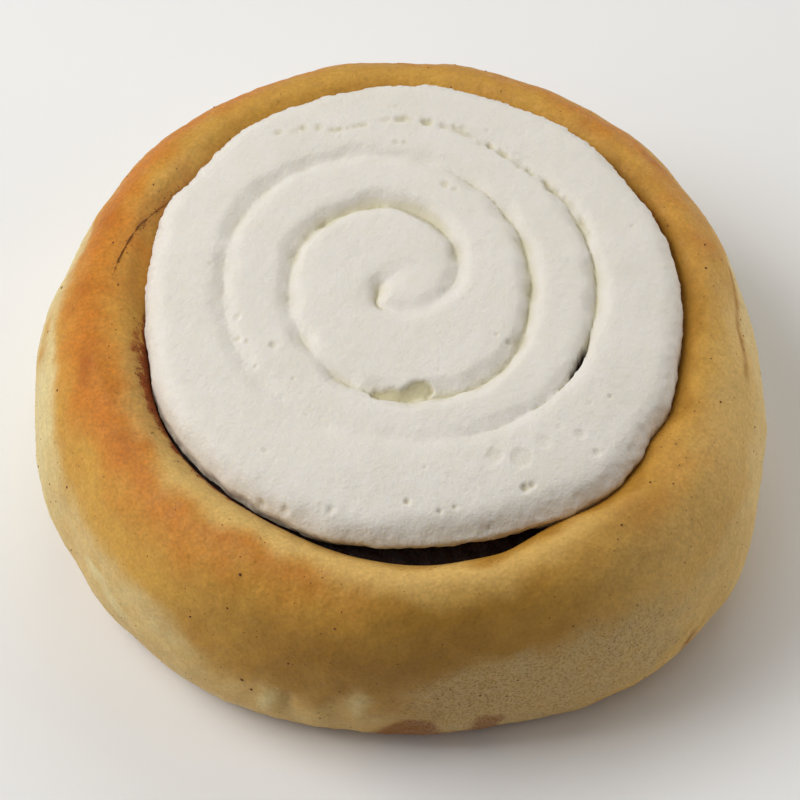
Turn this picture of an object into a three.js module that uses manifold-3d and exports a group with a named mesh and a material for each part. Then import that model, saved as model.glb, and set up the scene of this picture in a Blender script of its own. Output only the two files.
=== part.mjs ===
// A frosted sweet bun: a coiled yeast dough bun, the cinnamon filling rolled up in it, and a
// spiral of white frosting piped into the hollow of its top.
// Units are millimetres and +Z is up. The origin is the middle of the underside, on the table.
// Headings are degrees seen from above, anticlockwise from +X. The bun's front faces -Y.

import * as THREE from 'three';
import { mergeVertices } from 'three/addons/utils/BufferGeometryUtils.js';
import Module from 'manifold-3d';

const wasm = await Module();
wasm.setup();

const { clamp, degToRad, euclideanModulo, lerp, radToDeg, smoothstep } = THREE.MathUtils;
const FULL_TURN = 360;
const MERGE_DISTANCE = 1e-4;

// Dough, outside
const BUN_RADIUS = 52.5;
const RIM_HEIGHT = 34.7;
const WIDEST_HEIGHT = 13.5;
const SHOULDER_WIDTH = 12;
const SHOULDER_FULLNESS = 2.1;
const BASE_INSET = 8;
const BASE_FULLNESS = 2.2;
// A lobe is a wave round an outline: how many crests it has, their size and the heading of one
const BUN_LOBES = [
  { crests: 2, size: 0.64, heading: 118 },
  { crests: 3, size: 0.87, heading: 82 },
  { crests: 4, size: 0.55, heading: 46 },
  { crests: 5, size: 0.35, heading: 41 },
];
const BUN_SIDES = 60;
const BASE_ANGLES = [90, 72, 54, 36, 18];
const SHOULDER_ANGLES = [0, 15, 30, 45, 58];
const RIM_STEPS = [0.3, 0.55, 0.75, 0.9, 1];

// Frosting seen from above. Its lobe of one crest sets it a little off the bun's middle.
const FROSTING_RADIUS = 38.2;
const FROSTING_LOBES = [
  { crests: 1, size: 1.3, heading: 33 },
  { crests: 2, size: 0.93, heading: 99 },
  { crests: 3, size: 0.43, heading: 101 },
];

// The hollow of the top, which holds the frosting. It reaches further out at the front.
const WELL_GAP = 0.35;
const WELL_BULGE = 1.7;
const WELL_BULGE_HEADING = 274;
const WELL_BULGE_WIDTH = 22;
const WELL_FLOOR_HEIGHT = 29.4;
const WELL_WALL_INSETS = [0.5, 1.1];
const LIP_DROP = 3;
const LIP_WIDTH = 4;

// The seam between one turn of dough and the next. Its path is counted in degrees along the
// coil, so that it passes the same heading again after each full turn.
const SEAM_START = -530;
const SEAM_SHOWS = 182;
const SEAM_LEAVES_WELL = 491;
const SEAM_END = 532;
const SEAM_STEP = 7.5;
const COIL_PITCH = 12;
const COIL_STEP_LENGTH = 90;
const SEAM_TAIL_OFFSET = 4.4;
const SLOT_WIDTH = 1.8;
const SLOT_TAIL_WIDTH = 1.2;
const SLOT_OVERRUN = 6;

// The open gutter between the frosting and the front of the rim
const GUTTER_WIDTH = 3.4;
const GUTTER_HEADING = 272;
const GUTTER_SPREAD = 35;
const GUTTER_FLOOR_HEIGHT = 24;
const GUTTER_SLOPE_HEIGHT = 3;

// Filling
const FILLING_GAP = 0.3;
const FILLING_BOTTOM = 0.5;
const FILLING_SUNK = 1.1;
const FILLING_RISE_LENGTH = 1;
const FILLING_GUTTER_OUTER_HEIGHT = 26.5;
const FILLING_GUTTER_INNER_HEIGHT = 29;

// Piping of the frosting
const PIPING_POLE = new THREE.Vector2(-1.4, 0.9);
const PIPING_STEP = 7.5;
const PIPING_START = -270;
// Distance of the valley between the piped turns from the pole, at each eighth of a turn
const VALLEY_RADII = [
  0, 2.7, 2.4, 2.1, 2.5, 3.9, 7.1, 11.8, 15.7, 15.5, 14.1, 15, 17.5, 19.4,
  18.8, 21.2, 24.3, 26.1, 23.5, 23.5, 24.5, 27.3, 27.4, 29.3, 30.5, 31.1,
];
const VALLEY_SPACING = 45;
const VALLEY_DEPTH = 1.1;
const VALLEY_FADES_IN = 90;
const VALLEY_FADES_OUT = 800;
const VALLEY_RUNS_OUT = 840;
const PIPING_TURNS_END = 877.5;
const SLIT_HEADING = 692;
const SLIT_SPREAD = 16;
const SLIT_DEPTH = 3.2;
const ROPE_STEPS = [0, 0.08, 0.24, 0.5, 0.76, 0.92, 1];
const ROPE_SQUARENESS = 5;
const FROSTING_TOP = 37.6;
const FROSTING_EDGE_TOP = 37.2;
const FROSTING_SHOULDER_INSET = 3.4;
// The side of the frosting from the top's edge down to its underside: inset and height
const FROSTING_SIDE = [
  [1.5, 36.5], [0.5, 35.3], [0, 33.6], [0.3, 32.3], [1.1, 31.3], [2.2, 30.4], [3.6, 29.8],
];

/** Smallest signed difference between two headings, in degrees. */
function headingBetween(heading, other) {
  return euclideanModulo(heading - other + FULL_TURN / 2, FULL_TURN) - FULL_TURN / 2;
}

/** A smooth hump, 1 at its middle. */
function hump(distance, spread) {
  return Math.exp(-((distance / spread) ** 2));
}

/** Cosine of an angle in degrees. */
function cosDeg(angle) {
  return Math.cos(degToRad(angle));
}

/** Radius of a lobed round outline at a heading. */
function lobedRadius(radius, lobes, heading) {
  const wave = ({ crests, size, heading: crest }) => size * cosDeg(crests * (heading - crest));
  return lobes.reduce((sum, lobe) => sum + wave(lobe), radius);
}

/** Point on the ground plan at a distance and heading from a centre. */
function planPoint(centre, radius, heading) {
  const angle = degToRad(heading);
  return new THREE.Vector2(centre.x + radius * Math.cos(angle), centre.y + radius * Math.sin(angle));
}

const ORIGIN = new THREE.Vector2(0, 0);

/** Radius of the bun at its widest. */
function bunRadius(heading) {
  return lobedRadius(BUN_RADIUS, BUN_LOBES, heading);
}

/** Radius of the frosting at its widest. */
function frostingRadius(heading) {
  return lobedRadius(FROSTING_RADIUS, FROSTING_LOBES, heading);
}

/** Radius of the edge of the hollow that holds the frosting. */
function wellRadius(heading) {
  const bulge = WELL_BULGE * hump(headingBetween(heading, WELL_BULGE_HEADING), WELL_BULGE_WIDTH);
  return frostingRadius(heading) + WELL_GAP + bulge;
}

/** A quarter of a superellipse: how far across and how far up it is at an angle. */
function quarterCurve(angle, fullness) {
  const across = Math.max(0, cosDeg(angle)) ** (2 / fullness);
  const up = Math.sin(degToRad(angle)) ** (2 / fullness);
  return { across, up };
}

/** Height of the top of the dough at a radius, from the shoulder in to the lip of the hollow. */
function doughTop(radius, heading) {
  const shoulderStart = bunRadius(heading) - SHOULDER_WIDTH;
  const across = Math.max(0, (radius - shoulderStart) / SHOULDER_WIDTH);
  const up = (1 - across ** SHOULDER_FULLNESS) ** (1 / SHOULDER_FULLNESS);
  const fromLip = clamp((radius - wellRadius(heading)) / LIP_WIDTH, 0, 1);
  return WIDEST_HEIGHT + (RIM_HEIGHT - WIDEST_HEIGHT) * up - LIP_DROP * (1 - fromLip) ** 2;
}

/** Radius of the seam, at its outer side, at a place along the coil. */
function seamRadius(along) {
  const turnsIn = Math.max(0, Math.ceil((SEAM_SHOWS - along) / FULL_TURN));
  const stepStart = SEAM_SHOWS - FULL_TURN * (turnsIn - 1);
  const step = turnsIn === 0 ? 0 : smoothstep(stepStart - along, 0, COIL_STEP_LENGTH);
  const fullTurns = Math.max(0, turnsIn - 1);
  const tail = SEAM_TAIL_OFFSET * smoothstep(along, SEAM_LEAVES_WELL, SEAM_END);
  return wellRadius(along) + tail - COIL_PITCH * (fullTurns + step);
}

/** Width of the slot that the filling lies in. */
function slotWidth(along) {
  return lerp(SLOT_WIDTH, SLOT_TAIL_WIDTH, smoothstep(along, SEAM_LEAVES_WELL, SEAM_END));
}

/** How much of the front gutter there is at a place along the seam, from 0 to 1. */
function gutterShare(along) {
  return hump(along - GUTTER_HEADING, GUTTER_SPREAD);
}

/** Height of the filling's top away from the gutter: low under the frosting, high at the lip. */
function fillingTop(along) {
  const radius = seamRadius(along);
  const hidden = WELL_FLOOR_HEIGHT - FILLING_SUNK;
  const shown = doughTop(radius - slotWidth(along), along) - FILLING_SUNK;
  return lerp(hidden, shown, smoothstep(radius - wellRadius(along), -FILLING_RISE_LENGTH, 0));
}

/** Closed solid skinned over rings of equal length, with a fan of triangles over each end. */
function skinnedSolid(rings) {
  const sides = rings[0].length;
  const points = rings.flat();
  const faces = [];
  const at = (ring, side) => ring * sides + (side % sides);
  for (let ring = 0; ring + 1 < rings.length; ring += 1) {
    for (let side = 0; side < sides; side += 1) {
      faces.push([at(ring, side), at(ring, side + 1), at(ring + 1, side + 1)]);
      faces.push([at(ring, side), at(ring + 1, side + 1), at(ring + 1, side)]);
    }
  }
  for (const end of [0, rings.length - 1]) {
    const middle = points.length;
    const centre = rings[end].reduce((sum, point) => sum.add(point), new THREE.Vector3());
    points.push(centre.divideScalar(sides));
    for (let side = 0; side < sides; side += 1) {
      const edge = [at(end, side), at(end, side + 1)];
      faces.push(end === 0 ? [middle, edge[1], edge[0]] : [middle, edge[0], edge[1]]);
    }
  }
  return solidFrom(points, faces);
}

/** A Manifold solid from points and triangles, with repeated points merged. */
function solidFrom(points, faces) {
  const loose = new THREE.BufferGeometry().setFromPoints(points);
  loose.setIndex(faces.flat());
  const geometry = mergeVertices(loose, MERGE_DISTANCE);
  const index = Array.from(geometry.index.array);
  const kept = [];
  for (let i = 0; i < index.length; i += 3) {
    const corners = index.slice(i, i + 3);
    if (new Set(corners).size === 3) kept.push(...corners);
  }
  return new wasm.Manifold(new wasm.Mesh({
    numProp: 3,
    vertProperties: new Float32Array(geometry.attributes.position.array),
    triVerts: new Uint32Array(kept),
  }));
}

/** Named mesh of a solid, in one material. */
function meshOf(name, solid, material) {
  const { vertProperties, triVerts } = solid.getMesh();
  const geometry = new THREE.BufferGeometry();
  geometry.setAttribute('position', new THREE.BufferAttribute(vertProperties, 3));
  geometry.setIndex(new THREE.BufferAttribute(triVerts, 1));
  geometry.computeVertexNormals();
  const mesh = new THREE.Mesh(geometry, material);
  mesh.name = name;
  return mesh;
}

/**
 * Solid swept along the coil, from a function that gives its section as insets and heights.
 * Its two ends are drawn back by endGap, and its steps match those of every other such solid.
 */
function sweptAlongCoil(endGap, section) {
  const steps = Math.round((SEAM_END - SEAM_START) / SEAM_STEP);
  const rings = [];
  for (let i = 0; i <= steps; i += 1) {
    const step = lerp(SEAM_START, SEAM_END, i / steps);
    const drawnBack = radToDeg(endGap / seamRadius(step));
    const along = clamp(step, SEAM_START + drawnBack, SEAM_END - drawnBack);
    rings.push(section(along).map(([inset, height]) => {
      const plan = planPoint(ORIGIN, seamRadius(along) - inset, along);
      return new THREE.Vector3(plan.x, plan.y, height);
    }));
  }
  return skinnedSolid(rings);
}

/** The slot between the turns, open above and below, and wider in the front gutter. */
function slotSection(along) {
  const width = slotWidth(along);
  const gutter = width + GUTTER_WIDTH * gutterShare(along);
  const above = RIM_HEIGHT + SLOT_OVERRUN;
  return [
    [0, -SLOT_OVERRUN],
    [width, -SLOT_OVERRUN],
    [width, GUTTER_FLOOR_HEIGHT],
    [gutter, GUTTER_FLOOR_HEIGHT + GUTTER_SLOPE_HEIGHT],
    [gutter, above],
    [0, above],
  ];
}

/** The filling's section: a thin sheet that spreads over the inner side of the front gutter. */
function fillingSection(along) {
  const share = gutterShare(along);
  const width = slotWidth(along) - FILLING_GAP;
  const gutter = width + GUTTER_WIDTH * share;
  const top = fillingTop(along);
  return [
    [FILLING_GAP, FILLING_BOTTOM],
    [width, FILLING_BOTTOM],
    [width, GUTTER_FLOOR_HEIGHT + FILLING_GAP],
    [gutter, GUTTER_FLOOR_HEIGHT + GUTTER_SLOPE_HEIGHT + FILLING_GAP],
    [gutter, lerp(top, FILLING_GUTTER_INNER_HEIGHT, share)],
    [FILLING_GAP, lerp(top, FILLING_GUTTER_OUTER_HEIGHT, share)],
  ];
}

/** One ring of the dough body, from a function that gives radius and height at a heading. */
function doughRing(place) {
  return Array.from({ length: BUN_SIDES }, (_, side) => {
    const heading = (FULL_TURN * side) / BUN_SIDES;
    const [radius, height] = place(heading);
    const plan = planPoint(ORIGIN, radius, heading);
    return new THREE.Vector3(plan.x, plan.y, height);
  });
}

/** The risen dough before it is parted into turns: base, side, shoulder, rim and hollow. */
function doughBody() {
  const base = BASE_ANGLES.map((angle) => doughRing((heading) => {
    const { across, up } = quarterCurve(angle, BASE_FULLNESS);
    return [bunRadius(heading) - BASE_INSET * (1 - across), WIDEST_HEIGHT * (1 - up)];
  }));
  const shoulder = SHOULDER_ANGLES.map((angle) => doughRing((heading) => {
    const { across } = quarterCurve(angle, SHOULDER_FULLNESS);
    const radius = bunRadius(heading) - SHOULDER_WIDTH * (1 - across);
    return [radius, doughTop(radius, heading)];
  }));
  const lastAngle = SHOULDER_ANGLES[SHOULDER_ANGLES.length - 1];
  const rim = RIM_STEPS.map((step) => doughRing((heading) => {
    const { across } = quarterCurve(lastAngle, SHOULDER_FULLNESS);
    const outer = bunRadius(heading) - SHOULDER_WIDTH * (1 - across);
    const radius = lerp(outer, wellRadius(heading) - WELL_WALL_INSETS[0], step);
    return [radius, doughTop(radius, heading)];
  }));
  const floor = doughRing((heading) => [wellRadius(heading) - WELL_WALL_INSETS[1], WELL_FLOOR_HEIGHT]);
  return skinnedSolid([...base, ...shoulder, ...rim, floor]);
}

/** Edge of the frosting seen from above, drawn in by an inset. */
function frostingEdge(heading, inset) {
  return planPoint(ORIGIN, frostingRadius(heading) - inset, heading);
}

/** Distance of the piped valley from the pole, on a smooth curve through its eighth turns. */
const valleyCurve = new THREE.SplineCurve(
  VALLEY_RADII.map((radius, i) => new THREE.Vector2(PIPING_START + VALLEY_SPACING * i, radius)),
);

/** Where the valley beside the piped rope runs; past its end this is the top's outer shoulder. */
function valleyPoint(along) {
  const shoulder = frostingEdge(along, FROSTING_SHOULDER_INSET);
  if (along <= PIPING_START) return PIPING_POLE.clone();
  if (along >= PIPING_TURNS_END) return shoulder;
  const share = (along - PIPING_START) / (VALLEY_SPACING * (VALLEY_RADII.length - 1));
  const radius = valleyCurve.getPoint(Math.min(1, share)).y;
  const valley = planPoint(PIPING_POLE, radius, along);
  return valley.lerp(shoulder, smoothstep(along, VALLEY_RUNS_OUT, PIPING_TURNS_END));
}

/** Depth of the valley below the crowns of the rope. */
function valleyDepth(along) {
  const fadeIn = smoothstep(along, PIPING_START, PIPING_START + VALLEY_FADES_IN);
  const fadeOut = 1 - smoothstep(along, VALLEY_FADES_OUT, PIPING_TURNS_END);
  return VALLEY_DEPTH * fadeIn * fadeOut + SLIT_DEPTH * hump(along - SLIT_HEADING, SLIT_SPREAD);
}

/** Height of the frosting's crowns, slightly domed about the pole. */
function crownHeight(plan) {
  const share = plan.distanceTo(PIPING_POLE) / (FROSTING_RADIUS - FROSTING_SHOULDER_INSET);
  return lerp(FROSTING_TOP, FROSTING_EDGE_TOP, share ** 2);
}

/** Row of points across the piped rope, from its inner valley to its outer one. */
function ropeRow(along) {
  const inner = valleyPoint(along - FULL_TURN);
  const outer = valleyPoint(along);
  const depths = [valleyDepth(along - FULL_TURN), valleyDepth(along)];
  return ROPE_STEPS.map((step) => {
    const plan = inner.clone().lerp(outer, step);
    const depth = depths[step < 0.5 ? 0 : 1] * Math.abs(2 * step - 1) ** ROPE_SQUARENESS;
    return new THREE.Vector3(plan.x, plan.y, crownHeight(plan) - depth);
  });
}

/** The piped frosting: one rope wound outwards, its turns fused, then its side and underside. */
function frostingSolid() {
  const sides = FULL_TURN / PIPING_STEP;
  const steps = Math.round((PIPING_TURNS_END + FULL_TURN - PIPING_START) / PIPING_STEP);
  const rows = Array.from({ length: steps + 1 }, (_, i) => ropeRow(PIPING_START + PIPING_STEP * i));
  const columns = ROPE_STEPS.length;
  const points = rows.flat();
  const faces = [];
  const quad = (a, b, c, d) => faces.push([a, b, c], [a, c, d]);
  for (let row = 0; row < steps; row += 1) {
    for (let column = 0; column + 1 < columns; column += 1) {
      const corner = row * columns + column;
      quad(corner, corner + 1, corner + columns + 1, corner + columns);
    }
  }
  const rim = Array.from({ length: sides }, (_, side) => (steps - sides + side) * columns + columns - 1);
  let upper = rim;
  for (const [inset, height] of FROSTING_SIDE) {
    const lower = rim.map((_, side) => {
      const plan = frostingEdge(PIPING_TURNS_END + PIPING_STEP * side, inset);
      points.push(new THREE.Vector3(plan.x, plan.y, height));
      return points.length - 1;
    });
    for (let side = 0; side < sides; side += 1) {
      const next = (side + 1) % sides;
      quad(upper[side], lower[side], lower[next], upper[next]);
    }
    upper = lower;
  }
  const underside = FROSTING_SIDE[FROSTING_SIDE.length - 1][1];
  points.push(new THREE.Vector3(0, 0, underside));
  const middle = points.length - 1;
  for (let side = 0; side < sides; side += 1) {
    faces.push([middle, upper[(side + 1) % sides], upper[side]]);
  }
  return solidFrom(points, faces);
}

/** A dull material of one colour. */
function dullMaterial(color, roughness) {
  return new THREE.MeshStandardMaterial({ color, roughness, metalness: 0 });
}

const dough = doughBody().subtract(sweptAlongCoil(0, slotSection));
const filling = sweptAlongCoil(FILLING_GAP, fillingSection);

const bun = new THREE.Group();
bun.add(
  meshOf('dough_coil', dough, dullMaterial('#c2944c', 0.62)),
  meshOf('cinnamon_filling', filling, dullMaterial('#3a1c10', 0.5)),
  meshOf('frosting', frostingSolid(), dullMaterial('#ece6dc', 0.75)),
);

const middle = new THREE.Box3().setFromObject(bun, true).getCenter(new THREE.Vector3());
bun.position.set(-middle.x, -middle.y, 0);
bun.updateMatrixWorld(true);

export default bun;
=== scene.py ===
"""A frosted sweet bun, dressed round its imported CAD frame.

Lengths are millimetres while a form is worked out and metres once it is a mesh. Headings are
degrees seen from above, anticlockwise from +X, about the bun's own middle. Its front faces -Y.
"""

from __future__ import annotations

import logging
import math
import sys
from dataclasses import dataclass, field
from enum import Enum
from typing import Any, Callable, Sequence

import bpy
import numpy as np
from bpy.types import Material, Node, NodeSocket, NodeTree, Object
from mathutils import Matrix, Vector

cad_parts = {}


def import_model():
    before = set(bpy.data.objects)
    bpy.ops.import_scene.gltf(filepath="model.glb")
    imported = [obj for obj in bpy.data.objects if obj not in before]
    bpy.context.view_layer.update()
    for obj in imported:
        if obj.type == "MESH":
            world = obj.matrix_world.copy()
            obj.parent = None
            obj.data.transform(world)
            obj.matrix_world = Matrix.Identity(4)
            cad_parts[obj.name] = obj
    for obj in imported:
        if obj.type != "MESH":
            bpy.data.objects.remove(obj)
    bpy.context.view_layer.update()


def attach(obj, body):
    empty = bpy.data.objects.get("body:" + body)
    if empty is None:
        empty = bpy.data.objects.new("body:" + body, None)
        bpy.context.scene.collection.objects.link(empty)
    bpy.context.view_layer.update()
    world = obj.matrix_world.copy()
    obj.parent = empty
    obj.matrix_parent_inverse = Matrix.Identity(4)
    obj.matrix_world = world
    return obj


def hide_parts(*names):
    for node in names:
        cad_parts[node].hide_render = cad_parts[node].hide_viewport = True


LOG = logging.getLogger("sweet_bun")

MM = 0.001
FULL_TURN = 360.0
PLAN_SHIFT = np.array([0.5318, -0.6469, 0.0])  # from the bun's own middle to the frame's origin
ROOT = "root"

Array = np.ndarray
Faces = list[tuple[int, ...]]
Span = tuple[float, float]
Triple = tuple[float, float, float]
Line = tuple[Span, ...]
Steps = tuple[Triple, ...]
Waves = tuple[tuple[float, float, int], ...]
Marks = tuple[tuple[float, float, float, float], ...]


class Slot(Enum):
    """The record's material slots."""

    CRUST = "baked_dough"
    FILLING = "cinnamon_filling"
    FROSTING = "frosting"


# ---- small rules shared by every form ----


def heading_between(heading: Array, other: float) -> Array:
    """Smallest signed difference between two headings, in degrees."""
    return (heading - other + FULL_TURN / 2) % FULL_TURN - FULL_TURN / 2


def hump(distance: Array, spread: float) -> Array:
    """A smooth hump, 1 at its middle."""
    return np.exp(-((distance / spread) ** 2))


def smoothstep(value: Array, low: float, high: float) -> Array:
    """0 below low, 1 above high, and a smooth rise between."""
    share = np.clip((value - low) / (high - low), 0.0, 1.0)
    return share * share * (3 - 2 * share)


def lerp(start: Array, end: Array, share: Array) -> Array:
    """The value a share of the way from start to end."""
    return start + (end - start) * share


def band_noise(points: Array, wavelength: float, seed: int, waves: int = 32) -> Array:
    """Smooth noise of about unit spread, a sum of plane waves near one wavelength.

    Args:
        points: Places in millimetres, one row each.
        wavelength: Typical distance between crests, in millimetres.
        seed: Fixes the draw.
        waves: How many waves are summed.

    Returns:
        One value for each place.
    """
    rng = np.random.default_rng(seed)
    directions = rng.normal(size=(waves, points.shape[1]))
    directions /= np.linalg.norm(directions, axis=1)[:, None]
    rates = 2 * np.pi / (wavelength * rng.uniform(0.7, 1.5, waves))
    phases = rng.uniform(0, 2 * np.pi, waves)
    return np.sqrt(2 / waves) * np.cos(points @ (directions * rates[:, None]).T + phases).sum(1)


def uneven(points: Array, waves: Waves) -> Array:
    """Noise of several sizes laid over one another, each by its height, wavelength and seed."""
    return sum(height * band_noise(points, wavelength, seed) for height, wavelength, seed in waves)


def wander(points: Array, wavelength: float, *seeds: int) -> Array:
    """Noise for each of several directions."""
    return np.stack([band_noise(points, wavelength, seed) for seed in seeds], 1)


def stepped(heading: Array, steps: Steps, start: float = 0.0) -> Array:
    """A strength that changes by smooth steps, each from one heading to another."""
    return start + sum(change * smoothstep(heading, low, high) for low, high, change in steps)


def headings_of(points: Array) -> Array:
    """Headings of points, from -180 to 180 degrees."""
    return np.degrees(np.arctan2(points[:, 1], points[:, 0]))


def plan_points(radius: Array, heading: Array, height: Array) -> Array:
    """Points from their distance and heading from the bun's middle, and their height."""
    angle = np.radians(heading)
    return np.stack(np.broadcast_arrays(radius * np.cos(angle), radius * np.sin(angle), height), -1)


def along_rows(values: Sequence[float], share: Array) -> Array:
    """Values picked on a smooth curve through evenly spaced ones.

    Args:
        values: The curve's evenly spaced values.
        share: Places on the curve, from 0 at its start to 1 at its end.

    Returns:
        The curve's value at each place.
    """
    table = np.asarray(values, float)
    last = len(table) - 1
    place = np.clip(share, 0, 1) * last
    low = np.clip(np.floor(place).astype(int), 0, last - 1)
    t = place - low
    before, start = table[np.maximum(low - 1, 0)], table[low]
    end, after = table[low + 1], table[np.minimum(low + 2, last)]
    rise_in, rise_out = (end - before) / 2, (after - start) / 2
    cubic = 2 * start - 2 * end + rise_in + rise_out
    square = 3 * (end - start) - 2 * rise_in - rise_out
    return ((cubic * t + square) * t + rise_in) * t + start


# ---- meshes ----


def linked(name: str, data: bpy.types.ID) -> Object:
    """Puts a new object in the scene.

    Args:
        name: The object's name.
        data: Its mesh, light or camera.

    Returns:
        The object.
    """
    made = bpy.data.objects.new(name, data)
    bpy.context.scene.collection.objects.link(made)
    return made


def mesh_object(name: str, points: Array, faces: Faces = (), edges: Faces = ()) -> Object:
    """A linked object whose mesh has these points, given in millimetres from the bun's middle.

    Args:
        name: The object's name.
        points: Places in millimetres, one row each.
        faces: Each face's corners.
        edges: The ends of each edge that no face has.

    Returns:
        The new object, at the origin, with smooth faces.
    """
    mesh = bpy.data.meshes.new(name)
    mesh.from_pydata(((points + PLAN_SHIFT) * MM).tolist(), edges, faces)
    mesh.validate()
    mesh.shade_smooth()
    return linked(name, mesh)


def own_points(made: Object) -> Array:
    """An object's vertices in millimetres from the bun's middle.

    Args:
        made: The object.

    Returns:
        One row for each vertex.
    """
    places = np.empty(len(made.data.vertices) * 3)
    made.data.vertices.foreach_get("co", places)
    return places.reshape(-1, 3) / MM - PLAN_SHIFT


def set_attribute(made: Object, name: str, values: Array) -> None:
    """Stores one or three numbers for each vertex under a name that materials and trees read.

    Args:
        made: The object.
        name: The attribute's name.
        values: One number, or one row of three, for each vertex.
    """
    kind, place = ("FLOAT", "value") if values.ndim == 1 else ("FLOAT_VECTOR", "vector")
    layer = made.data.attributes.new(name, kind, "POINT")
    layer.data.foreach_set(place, np.ascontiguousarray(values, np.float32).ravel())


def ring_faces(rings: int, sides: int, first: int = 0) -> Faces:
    """Quads between rings of points that lie one above another.

    Args:
        rings: How many rings there are.
        sides: Points in each ring.
        first: Index of the first ring's first point.

    Returns:
        The faces' corners.
    """
    ring, side = np.meshgrid(np.arange(rings - 1), np.arange(sides), indexing="ij")
    following = (side + 1) % sides
    corners = [ring * sides + side, ring * sides + following]
    corners += [(ring + 1) * sides + following, (ring + 1) * sides + side]
    return [tuple(row) for row in (np.stack(corners, -1).reshape(-1, 4) + first).tolist()]


def fan_faces(middle: int, ring: Sequence[int], turned: bool) -> Faces:
    """Triangles from a middle point to a ring, turned to face the other way if asked."""
    pairs = zip(ring, [*ring[1:], ring[0]])
    return [(middle, b, a) if turned else (middle, a, b) for a, b in pairs]


def closed_faces(rings: int, sides: int) -> Faces:
    """Faces of a stack of rings whose ends close on two middle points, which follow the rings' own.

    Args:
        rings: How many rings there are.
        sides: Points in each ring.

    Returns:
        The faces' corners.
    """
    count = rings * sides
    first, last = list(range(sides)), list(range(count - sides, count))
    return ring_faces(rings, sides) + fan_faces(count, first, True) + fan_faces(count + 1, last, False)


def evaluated(made: Object, name: str) -> Object:
    """A plain object with the modifiers' result, in place of the one that had them.

    Args:
        made: The object with modifiers. It is removed.
        name: The new object's name.

    Returns:
        The new object.
    """
    graph = bpy.context.evaluated_depsgraph_get()
    mesh = bpy.data.meshes.new_from_object(made.evaluated_get(graph), depsgraph=graph)
    bpy.data.objects.remove(made)
    mesh.name = name
    return linked(name, mesh)


def hand_over(piece: Object, slot: Slot, *nodes: str) -> None:
    """Hangs a finished piece on the frame's root and hides the CAD nodes that it stands for.

    Args:
        piece: The finished piece.
        slot: The slot of its finish. Not used.
        *nodes: The CAD nodes that it replaces, if any.
    """
    if nodes:
        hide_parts(*nodes)
    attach(piece, ROOT)
    LOG.info("%s: %d vertices", piece.name, len(piece.data.vertices))


# ---- nodes ----


MATH, VECTORS, MIX, RANGE = "ShaderNodeMath", "ShaderNodeVectorMath", "ShaderNodeMix", "ShaderNodeMapRange"
NOISE, BUMP, ATTRIBUTE = "ShaderNodeTexNoise", "ShaderNodeBump", "ShaderNodeAttribute"
SPLIT, JOIN, RANDOM = "ShaderNodeSeparateXYZ", "ShaderNodeCombineXYZ", "FunctionNodeRandomValue"
TIMES, MINUS = {"operation": "MULTIPLY"}, {"operation": "SUBTRACT"}
SCATTER, PICK = "GeometryNodeDistributePointsOnFaces", "GeometryNodeSampleIndex"
STORE, STORED = "GeometryNodeStoreNamedAttribute", "GeometryNodeInputNamedAttribute"


def feed(tree: NodeTree, node: Node, inputs: dict[Any, Any]) -> None:
    """Sets or links a node's inputs.

    Args:
        tree: The node's tree.
        node: The node.
        inputs: For each input, by name or number, a value, a socket, a node whose first output
            in use is meant, or a list of nodes and sockets that are all linked.
    """
    for name, given in inputs.items():
        for value in given if isinstance(given, list) else [given]:
            if isinstance(value, Node):
                value = next(socket for socket in value.outputs if socket.enabled)
            if isinstance(value, NodeSocket):
                tree.links.new(value, node.inputs[name])
            else:
                node.inputs[name].default_value = value


def add(tree: NodeTree, kind: str, inputs: dict[Any, Any] | None = None, **settings: Any) -> Any:
    """Adds a node, gives it its settings, and sets or links its inputs.

    Args:
        tree: The tree that it joins.
        kind: The node's type.
        inputs: What each input is given, as feed takes it.
        **settings: The node's own properties.

    Returns:
        The new node.
    """
    node = tree.nodes.new(kind)
    for name, value in settings.items():
        setattr(node, name, value)
    feed(tree, node, inputs or {})
    return node


def linear(colour: str) -> tuple[float, float, float, float]:
    """A linear colour from an sRGB hex value.

    Args:
        colour: The value, as # and six digits.

    Returns:
        Red, green, blue and full alpha.
    """
    shares = [int(colour[i : i + 2], 16) / 255 for i in (1, 3, 5)]
    made = [c / 12.92 if c <= 0.04045 else ((c + 0.055) / 1.055) ** 2.4 for c in shares]
    return (*made, 1.0)


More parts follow.
